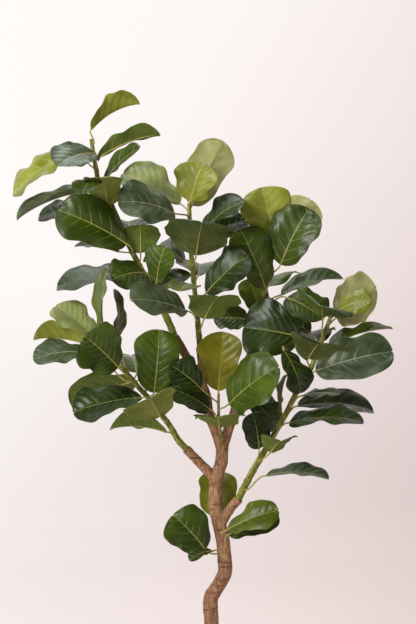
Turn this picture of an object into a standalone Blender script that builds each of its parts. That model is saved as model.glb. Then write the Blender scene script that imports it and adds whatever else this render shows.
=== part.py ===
"""A potted fiddle leaf fig: pot, soil, a bent trunk in two lengths, six stems and their broad leaves.
Metres, +Z up, the pot's foot on z = 0 and centred on the origin."""

from math import cos, pi, sin

import bpy
import bmesh
from mathutils import Vector

# ---- driving dimensions, in metres -------------------------------------------------------------
GAP = 0.0003
CM = 0.01

POT_HEIGHT = 0.27
POT_RIM_RADIUS = 0.155
POT_FOOT_RADIUS = 0.115
POT_WALL = 0.006
POT_FLOOR = 0.010
RIM_ROLL_HEIGHT = 0.022
RIM_ROLL_OUT = 0.006
FOOT_CHAMFER = 0.004
ROLL_CHAMFER = 0.003
LIP_CHAMFER = 0.002
SOIL_BELOW_RIM = 0.035
SOIL_EDGE_DROP = 0.006
SOIL_EDGE_WIDTH = 0.012
SOIL_MOUND_HEIGHT = 0.004
SOIL_MOUND_RADIUS = 0.04
PLANTING_DEPTH = 0.14

TRUNK_RADIUS = 0.019
ARM_RADIUS = 0.012
STUB_RADIUS = 0.010
STEM_RADIUS = 0.0092
TWIG_RADIUS = 0.0035

TREE_SCALE = 1.0
LEAF_LENGTH_SCALE = 1.0
LEAF_WIDTH_SCALE = 1.1
BLADE_THICKNESS = 0.0024
PETIOLE_RADIUS = 0.0022
PETIOLE_SIDES = 6
GROWN_DEPTH = 0.6

# ---- the woody frame: courses of the trunk and stems, in centimetres from the pot's foot ---------
SOIL_TOP = POT_HEIGHT - SOIL_BELOW_RIM
TRUNK_FOOT = (SOIL_TOP - PLANTING_DEPTH) / CM

COURSES = {
    "lower_trunk": [(0, 0, TRUNK_FOOT), (0, 0, 24), (0, 0, 37), (-0.3, 0, 41.5), (0.0, 0, 44.5),
                    (2.2, 0, 48), (3.6, 0, 51), (3.5, 0, 54.5), (3.0, 0, 60), (1.9, 0, 65),
                    (1.1, 0, 69), (1.1, 0, 74.4)],
    "upper_trunk": [(1.1, 0, 74.4), (1.4, 0, 77), (2.6, 0, 80.5), (2.9, 0, 84), (2.8, 0, 86.5)],
    "stub_right": [(2.3, 0, 63.5), (4.6, -0.6, 67.5), (7.3, -1.5, 71)],
    "stub_left": [(1.4, 0, 76), (-2.6, -1.0, 80), (-6.8, -2.5, 84.5)],
    "arm_left": [(2.7, 0, 84.5), (1.2, 0, 89), (-0.8, 0, 94), (-1.8, 0, 100), (-5.5, -0.5, 107),
                 (-9.9, -1, 114.5)],
    "arm_centre": [(-1.6, 0, 98), (-2.5, -0.3, 104), (-3.1, -0.8, 111.8)],
    "arm_right": [(2.9, 0, 84.5), (4.4, 1, 89), (6.2, 2, 94), (7.7, 2.7, 100), (8.8, 3, 104.3)],
    "stem_left": [(-9.9, -1, 114.5), (-11.3, -1.1, 118), (-13.4, -1.3, 122.4), (-16.6, -1.6, 128.5),
                  (-19.4, -2.0, 133.7), (-22.5, -2.3, 139.9), (-26.9, -2.7, 149.9), (-29.4, -2.9, 153),
                  (-30.5, -3.0, 157), (-31.4, -3.0, 162), (-32.3, -3.0, 167.7)],
    "stem_centre": [(-3.1, -0.8, 111.8), (-3.5, -1, 116), (-3.8, -1.3, 120), (-4.5, -1.7, 126.5),
                    (-5.1, -2, 133), (-5.7, -2, 140), (-5.9, -2, 146), (-6.0, -2, 150.5)],
    "stem_right": [(8.8, 3, 104.3), (9.9, 3.2, 108.3), (12, 3.5, 116.4), (13.7, 3.8, 124.5),
                   (15.3, 4, 131.3), (17.2, 4, 139)],
    "branch_right": [(7.3, -1.5, 71), (9, -2, 74.5), (11.2, -2.5, 78.7), (13.8, -3, 83.2),
                     (18.2, -4, 91), (20.4, -4.3, 95), (23.1, -4.7, 100.5), (26, -5, 105),
                     (28, -5.3, 110), (30, -5.7, 115), (32, -6, 120.7)],
    "branch_left": [(-6.8, -2.5, 84.5), (-9, -3.3, 87), (-11.2, -4, 90.8), (-13.5, -4.6, 94),
                    (-16.1, -5.3, 97.5), (-19.3, -6.2, 101), (-21.9, -7.2, 104.3), (-24.6, -8.5, 107)],
    "twig_centre": [(2.85, 0, 86), (2.8, -2.6, 87.2), (2.3, -2.9, 90), (1.9, -2.9, 94), (1.9, -2.9, 99.3)],
}
# the height at which the twig leaves the trunk, in centimetres
TWIG_ON_TRUNK = 85.9
# how many rings each length is divided into
STEPS = {"lower_trunk": 24, "upper_trunk": 6, "stub_right": 3, "stub_left": 4, "arm_left": 10,
         "arm_centre": 4, "arm_right": 8, "stem_left": 18, "stem_centre": 10, "stem_right": 8,
         "branch_right": 16, "branch_left": 12, "twig_centre": 5}
# what each length carries on from, end to end
FOLLOWS = {"upper_trunk": "lower_trunk", "stem_left": "arm_left", "stem_centre": "arm_centre",
           "stem_right": "arm_right", "branch_right": "stub_right", "branch_left": "stub_left"}
RADII = {
    "lower_trunk": (TRUNK_RADIUS * 1.08, TRUNK_RADIUS * 0.97),
    "upper_trunk": (TRUNK_RADIUS * 0.97, TRUNK_RADIUS * 0.86),
    "stub_right": (STUB_RADIUS * 1.35, STUB_RADIUS * 1.2),
    "stub_left": (STUB_RADIUS * 1.45, STUB_RADIUS * 1.15),
    "arm_left": (ARM_RADIUS * 1.3, ARM_RADIUS * 0.95),
    "arm_centre": (ARM_RADIUS * 0.9, ARM_RADIUS * 0.82),
    "arm_right": (ARM_RADIUS * 1.25, ARM_RADIUS * 0.92),
    "stem_left": (STEM_RADIUS * 1.05, STEM_RADIUS * 0.6),
    "stem_centre": (STEM_RADIUS * 0.88, STEM_RADIUS * 0.6),
    "stem_right": (STEM_RADIUS * 0.92, STEM_RADIUS * 0.6),
    "branch_right": (STEM_RADIUS * 1.05, STEM_RADIUS * 0.6),
    "branch_left": (STEM_RADIUS * 0.95, STEM_RADIUS * 0.6),
    "twig_centre": (TWIG_RADIUS * 1.2, TWIG_RADIUS),
}

# ---- leaves: height on the stem, blade base, blade tip, width (cm), the way the upper side faces, bow (cm)
LEAVES = {
    # crown of the left stem
    "leaf_l01": ("stem_left", 166.5, (-31.7, -3, 170.6), (-19.5, -1, 177.8), 9, (-0.5, 0.25, 0.85), 1.3),
    "leaf_l02": ("stem_left", 160.0, (-39.8, 3, 163.8), (-54.4, 6, 153.6), 14, (-0.3, -0.55, 0.8), 1.0),
    "leaf_l03": ("stem_left", 163.0, (-31.6, -7, 163.4), (-40.3, -16, 160.0), 11, (-0.1, -0.75, 0.65), 1.0),
    "leaf_l04": ("stem_left", 158.5, (-29.8, -4, 162.8), (-13.9, -6, 169.3), 7.5, (-0.2, 0.4, 0.9), 1.0),
    "leaf_l05": ("stem_left", 155.0, (-28.2, -8, 156.6), (-18.8, -15, 164.4), 6.5, (-0.5, -0.6, 0.5), 0.8),
    "leaf_l06": ("stem_left", 153.5, (-33.5, -1, 153.8), (-52.5, -3, 146.6), 10, (-0.15, -0.25, 0.95), 1.2),
    "leaf_l07": ("stem_left", 156.5, (-31.0, -9, 156.2), (-33.5, -20, 152.5), 7, (0, -0.4, 0.9), 1.0),
    "leaf_l08": ("stem_left", 146.5, (-27.5, -7, 150.2), (-29.0, -18, 156.5), 9, (0, 0.5, 0.85), 0.8),
    "leaf_l09": ("stem_left", 149.0, (-34.2, 5, 148.4), (-47.4, 8, 147.6), 8.5, (-0.2, -0.5, 0.85), 0.8),
    "leaf_l10": ("stem_left", 136.5, (-23.4, -8, 139.8), (-40.3, -12, 148.4), 13, (0.2, -0.9, 0.3), 1.5),
    "leaf_l11": ("stem_left", 134.5, (-19.0, -4, 137.5), (-19.0, -7, 144.6), 9, (0, 0.7, 0.5), 0.5),
    "leaf_l12": ("stem_left", 127.0, (-14.6, -5, 129.6), (-12.4, -7, 138.8), 9, (-0.5, -0.8, 0.2), 0.6),
    "leaf_l13": ("stem_left", 128.5, (-18.2, -3.5, 131.8), (-26.2, -9, 130.2), 9.5, (0.1, -0.8, 0.6), 0.8),
    "leaf_l14": ("stem_left", 129.5, (-21.2, 3, 129.8), (-42.3, 5, 129.0), 13.5, (0, -0.35, 0.95), 1.0),
    "leaf_l15": ("stem_left", 137.5, (-25.5, -1, 137.6), (-37.0, -1, 139.0), 9, (0, -0.25, 1), 0.6),
    "leaf_l16": ("stem_left", 141.0, (-22.0, 5, 142.5), (-24.0, 20, 147.0), 11, (0, -0.3, 0.9), 1.4),
    # centre stem
    "leaf_c01": ("stem_centre", 147.0, (-10.4, -8, 147.6), (-24.2, -15, 150.6), 13, (0.1, -0.75, 0.65), 1.2),
    "leaf_c02": ("stem_centre", 148.5, (-9.3, 2, 151.0), (-24.2, 4, 159.0), 12.5, (0.2, -0.6, 0.75), 1.2),
    "leaf_c03": ("stem_centre", 149.8, (-5.6, -4, 151.4), (-2.4, -5, 161.0), 11, (-0.3, -0.9, 0.2), 0.6),
    "leaf_c04": ("stem_centre", 148.0, (-4.9, 2, 151.0), (3.0, 5, 167.6), 11, (-0.1, 0.9, 0.3), 0.8),
    "leaf_c05": ("stem_centre", 142.0, (-2.0, -3, 143.2), (8.7, -5, 151.0), 10, (-0.4, -0.5, 0.75), 1.0),
    "leaf_c06": ("stem_centre", 134.0, (-4.0, -8, 136.8), (-2.5, -19, 144.8), 16, (0, 0.55, 0.8), 0.8),
    "leaf_c07": ("stem_centre", 126.5, (-6.4, 6, 131.2), (-20.0, 9, 124.2), 12, (0.1, -0.5, 0.85), 1.0),
    "leaf_c08": ("stem_centre", 119.0, (-7.6, -11, 121.8), (-20.9, -18.5, 124.8), 12.5,
                 (0.1, -0.7, 0.7), 1.0),
    "leaf_c09": ("stem_centre", 116.0, (-1.6, -8, 120.0), (1.8, -18, 125.4), 12.5, (0, 0.5, 0.85), 0.8),
    "leaf_c10": ("stem_centre", 124.5, (-0.9, -6, 126.8), (9.4, -10, 136.4), 11, (-0.4, -0.8, 0.4), 0.8),
    "leaf_c11": ("stem_centre", 141.0, (1.0, 3, 143.0), (9.5, 7, 146.6), 9.5, (0.1, -0.8, 0.55), 0.6),
    "leaf_c12": ("stem_centre", 132.5, (-8.0, 4, 135.0), (-17.6, 8, 135.4), 11, (0, -0.4, 0.9), 3.6),
    "leaf_c13": ("stem_centre", 126.5, (-6.0, -7, 128.6), (-8.4, -15, 127.0), 8, (0, -0.6, 0.75), 0.5),
    "leaf_c15": ("stem_centre", 129.0, (-3.5, 6, 131.5), (-2.8, 21, 134.8), 14, (0, -0.2, 0.95), 1.4),
    # upper right stem
    "leaf_r01": ("stem_right", 138.0, (17.0, 3, 141.2), (13.6, 1, 155.0), 12.5, (0.1, -0.9, 0.2), 0.8),
    "leaf_r02": ("stem_right", 136.5, (19.0, 8, 140.5), (27.4, 12, 152.3), 11, (0.2, 0.9, 0.3), 0.8),
    "leaf_r03": ("stem_right", 131.5, (19.0, 0, 134.8), (26.0, -2, 149.3), 12.5, (-0.3, -0.9, 0.3), 1.0),
    "leaf_r04": ("stem_right", 126.0, (14.2, -1, 128.6), (7.7, -3, 143.6), 12, (0.3, -0.9, 0.3), 0.8),
    "leaf_r05": ("stem_right", 124.0, (20.0, 8, 126.2), (36.3, 11, 130.6), 10, (-0.1, -0.4, 0.9), 1.4),
    "leaf_r06": ("stem_right", 119.0, (20.6, -4, 124.8), (29.6, -8, 119.6), 11, (0.1, -0.75, 0.65), 0.8),
    "leaf_r07": ("branch_right", 104.0, (19.2, -14, 110.6), (23.6, -16, 100.2), 9.5, (0.6, -0.7, 0.3), 0.8),
    "leaf_r21": ("stem_right", 117.0, (9.4, 0, 119.2), (0.5, -1, 119.6), 10, (0, -0.75, 0.65), 0.6),
    "leaf_r27": ("stem_right", 118.0, (13.2, 7, 121.0), (10.2, 9, 130.5), 8, (0.3, -0.9, 0.3), 0.6),
    "leaf_r22": ("stem_right", 128.5, (16.0, 12, 128.6), (18.2, 26, 131.6), 14, (0, -0.2, 0.95), 1.4),
    # right branch
    "leaf_r08": ("branch_right", 114.5, (29.2, -12, 120.5), (27.5, -22, 123.2), 14, (0.45, 0.25, 0.85), 0.8),
    "leaf_r09": ("branch_right", 111.0, (22.8, -8, 114.8), (8.4, -7, 117.2), 15, (0.1, -0.95, 0.25), 1.2),
    "leaf_r10": ("branch_right", 106.0, (25.6, -14, 109.4), (28.4, -25, 114.0), 14, (0.25, 0.35, 0.9), 0.8),
    "leaf_r11": ("branch_right", 101.5, (28.6, -9, 105.8), (48.0, -10, 110.9), 12, (0, -0.85, 0.5), 1.4),
    "leaf_r12": ("branch_right", 109.0, (32.4, -3, 112.6), (48.6, -1, 117.0), 10, (-0.2, -0.2, 0.95), 1.0),
    "leaf_r13": ("branch_right", 119.5, (34.0, -9, 121.8), (41.7, -13, 124.6), 8, (-0.4, -0.7, 0.6), 0.8),
    "leaf_r14": ("branch_right", 118.0, (34.2, -2, 120.2), (44.6, 2, 127.6), 14, (-0.3, 0.85, 0.4), 0.8),
    "leaf_r15": ("branch_right", 93.5, (24.2, -1, 95.8), (43.9, 2, 94.4), 13, (0, -0.35, 0.93), 1.6),
    "leaf_r16": ("branch_right", 88.0, (21.4, -10, 92.0), (39.8, -14, 93.2), 10, (0, -0.4, 0.9), 1.2),
    "leaf_r17": ("branch_right", 73.8, (15.4, -6, 77.6), (31.2, -8, 77.6), 7.5, (0, -0.35, 0.93), 1.2),
    "leaf_r18": ("branch_right", 81.5, (15.8, -10, 84.3), (18.2, -17, 87.6), 9, (0, 0.4, 0.9), 0.6),
    "leaf_r19": ("branch_right", 76.5, (12.6, -6, 85.2), (11.0, -8, 94.4), 8, (0.3, -0.85, 0.3), 0.5),
    "leaf_r20": ("upper_trunk", 99.0, (9.6, 6, 98.5), (18.2, 8, 89.8), 9, (0.3, -0.75, 0.5), 0.8),
    "leaf_r23": ("branch_right", 112.5, (26.0, -2, 115.8), (19.0, 0, 120.0), 9, (0.3, -0.6, 0.7), 0.6),
    "leaf_r24": ("branch_right", 96.5, (24.4, -8, 99.0), (34.0, -10, 99.8), 7, (0, -0.2, 1), 0.6),
    "leaf_r25": ("branch_right", 88.5, (19.0, 2, 93.5), (19.9, 4, 104.2), 8, (-1, 0.25, 0), 0.5),
    "leaf_r26": ("branch_right", 110.2, (26.6, 2, 112.6), (28.6, 17, 116.0), 12, (0, -0.2, 0.95), 1.4),
    # twig in the fork
    "leaf_t01": ("twig_centre", 95.0, (5.2, -11, 97.4), (17.4, -18, 107.0), 14, (-0.4, -0.8, 0.45), 1.2),
    "leaf_t02": ("twig_centre", 98.4, (1.9, -5, 101.0), (2.8, -7, 115.9), 10.5, (0, -0.95, 0.2), 0.8),
    "leaf_t03": ("twig_centre", 93.0, (-1.0, -6, 95.6), (-11.7, -9, 101.4), 10, (-0.3, -0.6, 0.7), 0.8),
    "leaf_t04": ("twig_centre", 89.0, (2.0, -8, 90.8), (1.5, -17, 93.8), 12, (0, 0.4, 0.9), 0.8),
    "leaf_t05": ("twig_centre", 97.0, (-3.2, -9, 101.2), (-10.2, -11, 107.0), 9, (-0.2, -0.7, 0.6), 0.6),
    # left branch
    "leaf_b01": ("branch_left", 98.5, (-15.3, -8, 100.6), (-13.8, -8, 116.6), 11, (0.2, -0.9, 0.2), 1.0),
    "leaf_b02": ("branch_left", 105.0, (-32.3, 0, 115.0), (-42.5, 3, 122.9), 10, (0.3, -0.7, 0.6), 0.8),
    "leaf_b03": ("branch_left", 104.0, (-33.5, -4, 112.6), (-47.6, -5, 114.4), 9, (-0.1, 0.35, 0.9), 0.8),
    "leaf_b04": ("branch_left", 103.0, (-33.6, -9, 110.5), (-47.0, -12, 109.4), 9.5, (0, -0.55, 0.8), 0.8),
    "leaf_b05": ("branch_left", 106.3, (-24.8, -17, 107.2), (-32.8, -21, 115.0), 13, (0.2, -0.9, 0.3), 0.8),
    "leaf_b06": ("branch_left", 106.8, (-28.2, -13, 114.4), (-28.0, -14, 132.8), 10, (-1, -0.35, 0), 0.8),
    "leaf_b07": ("branch_left", 105.7, (-25.2, -6, 115.0), (-25.0, -6, 127.4), 8, (1, -0.3, 0), 0.6),
    "leaf_b08": ("branch_left", 98.5, (-21.4, 2.5, 102.2), (-38.3, 4, 96.2), 12.5, (-0.2, 0.75, 0.6), 1.0),
    "leaf_b09": ("branch_left", 96.0, (-19.2, -12, 98.5), (-36.4, -14, 94.9), 11.5, (0, -0.6, 0.8), 1.0),
    "leaf_b10": ("branch_left", 92.0, (-13.6, -14, 94.0), (-16.2, -24, 99.6), 13, (-0.45, 0.35, 0.8), 0.8),
    "leaf_b11": ("branch_left", 86.5, (-12.6, -9, 89.5), (-26.8, -12, 90.9), 8.5, (0, 0.4, 0.9), 1.0),
    "leaf_b13": ("branch_left", 102.5, (-20.5, 4, 105.0), (-22.5, 18, 109.0), 10, (0, -0.2, 0.95), 1.4),
    # low shoots on the trunk
    "leaf_k01": ("lower_trunk", 56.0, (-2.0, -6, 58.2), (-10.2, -7, 67.3), 12, (0.3, -0.9, 0.3), 1.0),
    "leaf_k02": ("lower_trunk", 54.5, (0.2, -10.5, 58.0), (-5.7, -14.5, 56.4), 4.5, (0, -0.3, 0.95), 0.6),
    "leaf_k03": ("lower_trunk", 62.0, (0.8, 6, 65.9), (2.6, 8, 77.5), 9.5, (0, -0.95, 0.1), 0.8),
    "leaf_k04": ("lower_trunk", 60.5, (4.8, -11, 64.0), (17.4, -14, 69.4), 8.5, (0, -0.7, 0.7), 0.8),
    "leaf_k05": ("lower_trunk", 58.0, (5.2, -5, 62.0), (17.8, -6, 67.2), 9, (0, -0.7, 0.7), 0.8),
}
# leaves that are one piece with the stem they grow on
GROWN_ON = {"leaf_l07", "leaf_l08", "leaf_l09", "leaf_l12", "leaf_l13", "leaf_r08", "leaf_r13", "leaf_r18",
            "leaf_r19", "leaf_b03", "leaf_b07", "leaf_t04", "leaf_k02", "leaf_k03", "leaf_l15", "leaf_l16",
            "leaf_c11", "leaf_c12", "leaf_c13", "leaf_c15", "leaf_r21", "leaf_r22", "leaf_r23",
            "leaf_r24", "leaf_r25", "leaf_r26", "leaf_r27", "leaf_t05", "leaf_b13"}

# how far the edges rise above the midrib, as a share of the half width
FOLD = 0.14
FOLDED = {"leaf_l01": 0.65, "leaf_l04": 0.45, "leaf_l05": 0.35, "leaf_l06": 0.35, "leaf_l14": 0.2,
          "leaf_r05": 0.3, "leaf_r12": 0.25, "leaf_r15": 0.25, "leaf_r16": 0.22, "leaf_r17": 0.25,
          "leaf_b03": 0.5, "leaf_b11": 0.4, "leaf_r18": 0.4, "leaf_k02": 0.3}

# half width of a blade along its midrib, as a share of the blade's width: heart-shaped base, slight waist,
# broad blunt end
OUTLINE = [(0.0, 0.05), (0.05, 0.22), (0.16, 0.34), (0.34, 0.42), (0.56, 0.49), (0.75, 0.5),
           (0.9, 0.39), (0.985, 0.17)]


def material(name, color, roughness):
    """Principled material of one colour."""
    made = bpy.data.materials.new(name)
    made.use_nodes = True
    shader = made.node_tree.nodes["Principled BSDF"]
    shader.inputs["Base Color"].default_value = (*color, 1.0)
    shader.inputs["Roughness"].default_value = roughness
    shader.inputs["Metallic"].default_value = 0.0
    return made


def along(course, share):
    """Point on a smooth line through the course's points, share 0 at its start and 1 at its end."""
    place = share * (len(course) - 1)
    i = min(int(place), len(course) - 2)
    t = place - i
    p1 = course[i]
    p2 = course[i + 1]
    p0 = course[i - 1] if i > 0 else p1 * 2 - p2
    p3 = course[i + 2] if i + 2 < len(course) else p2 * 2 - p1
    return 0.5 * (p1 * 2 + (p2 - p0) * t + (p0 * 2 - p1 * 5 + p2 * 4 - p3) * t * t
                  + (p1 * 3 - p0 - p2 * 3 + p3) * t * t * t)


def placed(point):
    """A point of the tables, in metres; what is above the soil follows the tree's scale."""
    x, y, z = Vector(point) * CM
    if z > SOIL_TOP:
        z = SOIL_TOP + (z - SOIL_TOP) * TREE_SCALE
    return Vector((x * TREE_SCALE, y * TREE_SCALE, z))


def solid(name, rings, look):
    """Closed solid through rings of points, each ring joined to the next and both ends capped."""
    bm = bmesh.new()
    rows = [[bm.verts.new(p) for p in ring] for ring in rings]
    count = len(rows[0])
    for low, high in zip(rows, rows[1:]):
        for k in range(count):
            j = (k + 1) % count
            bm.faces.new((low[k], low[j], high[j], high[k]))
    bm.faces.new(list(reversed(rows[0])))
    bm.faces.new(rows[-1])
    bmesh.ops.triangulate(bm, faces=bm.faces[:])
    bmesh.ops.recalc_face_normals(bm, faces=bm.faces[:])
    mesh = bpy.data.meshes.new(name)
    bm.to_mesh(mesh)
    bm.free()
    for face in mesh.polygons:
        face.use_smooth = True
    mesh.materials.append(look)
    made = bpy.data.objects.new(name, mesh)
    bpy.context.scene.collection.objects.link(made)
    return made


def ring(centre, across, up, radius_a, radius_b, count):
    """Ellipse of points round a centre."""
    turns = [2 * pi * k / count for k in range(count)]
    return [centre + across * radius_a * cos(a) + up * radius_b * sin(a) for a in turns]


def centres(key):
    """Middles of a length's rings, from its start to its end, and the direction it sets out in."""
    course = [placed(p) for p in COURSES[key]]
    start = None
    if key in FOLLOWS:
        before = centres(FOLLOWS[key])[0]
        start = (before[-1] - before[-2]).normalized()
        course[0] = before[-1] + start * GAP
    if key == "twig_centre":
        start = Vector((0, -1, 0))
        point, axis, radius = station("upper_trunk", TWIG_ON_TRUNK)
        course[0] = point + start * (radius + GAP)
    count = STEPS[key]
    return [along(course, i / count) for i in range(count + 1)], start


def stem_rings(key, sides):
    """Rings of a tapering round length along its course."""
    middles, start = centres(key)
    first, last = RADII[key]
    across = Vector((1, 0, 0))
    rings = []
    for i, centre in enumerate(middles):
        ahead = (middles[min(i + 1, len(middles) - 1)] - middles[max(i - 1, 0)]).normalized()
        if i == 0 and start:
            ahead = start
        if i == len(middles) - 1:
            ahead = (middles[-1] - middles[-2]).normalized()
        across = (across - ahead * across.dot(ahead)).normalized()
        radius = first + (last - first) * i / STEPS[key]
        rings.append(ring(centre, across, ahead.cross(across), radius, radius, sides))
    return rings


def join(made, others):
    """Unites a solid with others that overlap it, leaving one solid."""
    for other in others:
        union = made.modifiers.new("grown", "BOOLEAN")
        union.operation = "UNION"
        union.solver = "EXACT"
        union.object = other
        bpy.context.view_layer.update()
        shape = made.evaluated_get(bpy.context.evaluated_depsgraph_get())
        whole = bpy.data.meshes.new_from_object(shape)
        made.modifiers.clear()
        made.data = whole
        bpy.data.objects.remove(other)
    return made


def station(key, height):
    """Point on a stem at a height given in centimetres, its direction there and its radius."""
    target = placed((0, 0, height)).z
    if key == "upper_trunk" and height > COURSES[key][-1][2]:
        key = "arm_right"
    middles = centres(key)[0]
    first, last = RADII[key]
    for i in range(len(middles) - 1):
        low = middles[i]
        high = middles[i + 1]
        if high.z >= target or i == len(middles) - 2:
            share = min(max((target - low.z) / (high.z - low.z), 0.0), 1.0)
            radius = first + (last - first) * (i + share) / STEPS[key]
            return low + (high - low) * share, (high - low).normalized(), radius


def leaf(name, look):
    """One leaf: a round stalk from the stem that flattens into a thin, slightly folded and arched blade."""
    key, height, base, tip, width, face, bow = LEAVES[name]
    point, axis, radius = station(key, height)
    base = placed(base)
    reach = (placed(tip) - base) * LEAF_LENGTH_SCALE
    width = width * CM * LEAF_WIDTH_SCALE * TREE_SCALE
    bow = bow * CM
    ahead = reach.normalized()
    normal = Vector(face)
    normal = (normal - ahead * normal.dot(ahead)).normalized()
    side = ahead.cross(normal)

    out = base - point
    out = (out - axis * out.dot(axis)).normalized()
    start = point + out * (radius + GAP)
    if name in GROWN_ON:
        start = point + out * radius * (1 - GROWN_DEPTH)
    across = out.cross(axis).normalized()
    collar = PETIOLE_RADIUS * 1.15
    rings = [ring(start, across, axis, collar, collar, PETIOLE_SIDES)]
    # the stalk leaves the stem square, then bends to run into the midrib
    shaft = (base - start).length
    bend_1 = start + out * shaft * 0.25 + axis * shaft * 0.1
    bend_2 = base - ahead * shaft * 0.35
    here = across
    for share in (0.2, 0.5, 0.85):
        rest = 1 - share
        centre = (start * rest ** 3 + bend_1 * 3 * rest ** 2 * share + bend_2 * 3 * rest * share ** 2
                  + base * share ** 3)
        tangent = ((bend_1 - start) * rest ** 2 + (bend_2 - bend_1) * 2 * rest * share
                   + (base - bend_2) * share ** 2).normalized()
        toward = here * (1 - share) + side * share
        here = (toward - tangent * toward.dot(tangent)).normalized()
        rings.append(ring(centre, here, here.cross(tangent), PETIOLE_RADIUS, PETIOLE_RADIUS, PETIOLE_SIDES))

    # each ring of the blade: right edge, three points of the upper side, left edge, one below the midrib
    thick = BLADE_THICKNESS / 2
    for share, half in OUTLINE:
        half = half * width
        middle = base + reach * share + normal * bow * 4 * share * (1 - share)
        rise = FOLDED.get(name, FOLD) * half
        rib = thick * (2.2 - 1.4 * share)
        rings.append([
            middle + side * half + normal * rise,
            middle + side * half * 0.5 + normal * (rise * 0.5 + thick),
            middle - side * half * 0.5 + normal * (rise * 0.5 + thick),
            middle - side * half + normal * rise,
            middle - side * half * 0.12 - normal * rib,
            middle + side * half * 0.12 - normal * rib,
        ])
    return solid(name, rings, look)


def lathe(name, profile, look, count=36):
    """Solid of revolution about the z axis from a closed profile of (radius, height)."""
    bm = bmesh.new()
    columns = []
    for k in range(count):
        a = 2 * pi * k / count
        columns.append([bm.verts.new((r * cos(a), r * sin(a), z)) for r, z in profile])
    rows = len(profile)
    for k in range(count):
        now = columns[k]
        after = columns[(k + 1) % count]
        for i in range(rows):
            j = (i + 1) % rows
            if profile[i][0] < 1e-9 and profile[j][0] < 1e-9:
                continue
            bm.faces.new((now[i], after[i], after[j], now[j]))
    bmesh.ops.remove_doubles(bm, verts=bm.verts[:], dist=1e-7)
    bmesh.ops.recalc_face_normals(bm, faces=bm.faces[:])
    mesh = bpy.data.meshes.new(name)
    bm.to_mesh(mesh)
    bm.free()
    for part in mesh.polygons:
        part.use_smooth = True
    mesh.materials.append(look)
    made = bpy.data.objects.new(name, mesh)
    bpy.context.scene.collection.objects.link(made)
    return made


for old in list(bpy.data.objects):
    bpy.data.objects.remove(old)

BARK = material("bark", (0.32, 0.21, 0.14), 0.8)
GREEN = material("green_stem", (0.17, 0.19, 0.04), 0.55)
BLADE = material("leaf_green", (0.05, 0.12, 0.03), 0.4)
EARTH = material("potting_soil", (0.05, 0.03, 0.02), 0.95)
CLAY = material("pot_glaze", (0.72, 0.70, 0.66), 0.45)

# pot: tapered wall, flat foot and a band round the rim
slope = (POT_RIM_RADIUS - POT_FOOT_RADIUS) / POT_HEIGHT
inner_foot = POT_FOOT_RADIUS + slope * POT_FLOOR - POT_WALL
inner_rim = POT_RIM_RADIUS - POT_WALL
band = POT_HEIGHT - RIM_ROLL_HEIGHT
band_radius = POT_FOOT_RADIUS + slope * band
lathe("pot", [
    (0, 0),
    (POT_FOOT_RADIUS - FOOT_CHAMFER, 0),
    (POT_FOOT_RADIUS, FOOT_CHAMFER),
    (band_radius, band),
    (band_radius + RIM_ROLL_OUT, band + ROLL_CHAMFER),
    (POT_RIM_RADIUS + RIM_ROLL_OUT, POT_HEIGHT - ROLL_CHAMFER),
    (POT_RIM_RADIUS + RIM_ROLL_OUT - ROLL_CHAMFER, POT_HEIGHT),
    (inner_rim + LIP_CHAMFER, POT_HEIGHT),
    (inner_rim, POT_HEIGHT - LIP_CHAMFER),
    (inner_foot, POT_FLOOR),
    (0, POT_FLOOR),
], CLAY)

# soil: fills the pot to below the rim, open round the buried foot of the trunk
inside = (inner_rim - inner_foot) / (POT_HEIGHT - LIP_CHAMFER - POT_FLOOR)
soil_foot = inner_foot - GAP
soil_edge = SOIL_TOP - SOIL_EDGE_DROP
soil_rim = inner_foot + inside * (soil_edge - POT_FLOOR) - GAP
hole = RADII["lower_trunk"][0] + GAP
hole_floor = TRUNK_FOOT * CM - GAP
lathe("soil", [
    (0, POT_FLOOR + GAP),
    (soil_foot, POT_FLOOR + GAP),
    (soil_rim, soil_edge),
    (soil_rim - SOIL_EDGE_WIDTH, SOIL_TOP),
    (SOIL_MOUND_RADIUS, SOIL_TOP + SOIL_MOUND_HEIGHT),
    (hole, SOIL_TOP + SOIL_MOUND_HEIGHT),
    (hole, hole_floor),
    (0, hole_floor),
], EARTH)

# trunk in two lengths, with short side stubs and the arms of the fork
wood = {
    "lower_trunk": join(solid("lower_trunk", stem_rings("lower_trunk", 14), BARK),
                        [solid("stub_right", stem_rings("stub_right", 10), BARK)]),
    "upper_trunk": join(solid("upper_trunk", stem_rings("upper_trunk", 14), BARK), [
        solid("arm_left", stem_rings("arm_left", 12), BARK),
        solid("arm_right", stem_rings("arm_right", 12), BARK),
        solid("arm_centre", stem_rings("arm_centre", 10), BARK),
        solid("stub_left", stem_rings("stub_left", 10), BARK),
    ]),
}
for key in ("stem_left", "stem_centre", "stem_right", "branch_right", "branch_left", "twig_centre"):
    wood[key] = solid(key, stem_rings(key, 8), GREEN)

# leaves: each its own piece, apart from the few that are one with their stem
for name in LEAVES:
    made = leaf(name, BLADE)
    if name in GROWN_ON:
        join(wood[LEAVES[name][0]], [made])
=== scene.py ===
# %% [markdown]
# # Potted fiddle leaf fig
# A tree like this is made of very few kinds of piece: a pot, soil, woody trunk, green stems and many leaves.
# The solid model gives every piece its place. This script dresses it: each leaf becomes a thin blade with
# puckers, veins and a midrib, the trunk gets bark, and the pot and soil get surfaces of their own.

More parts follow.
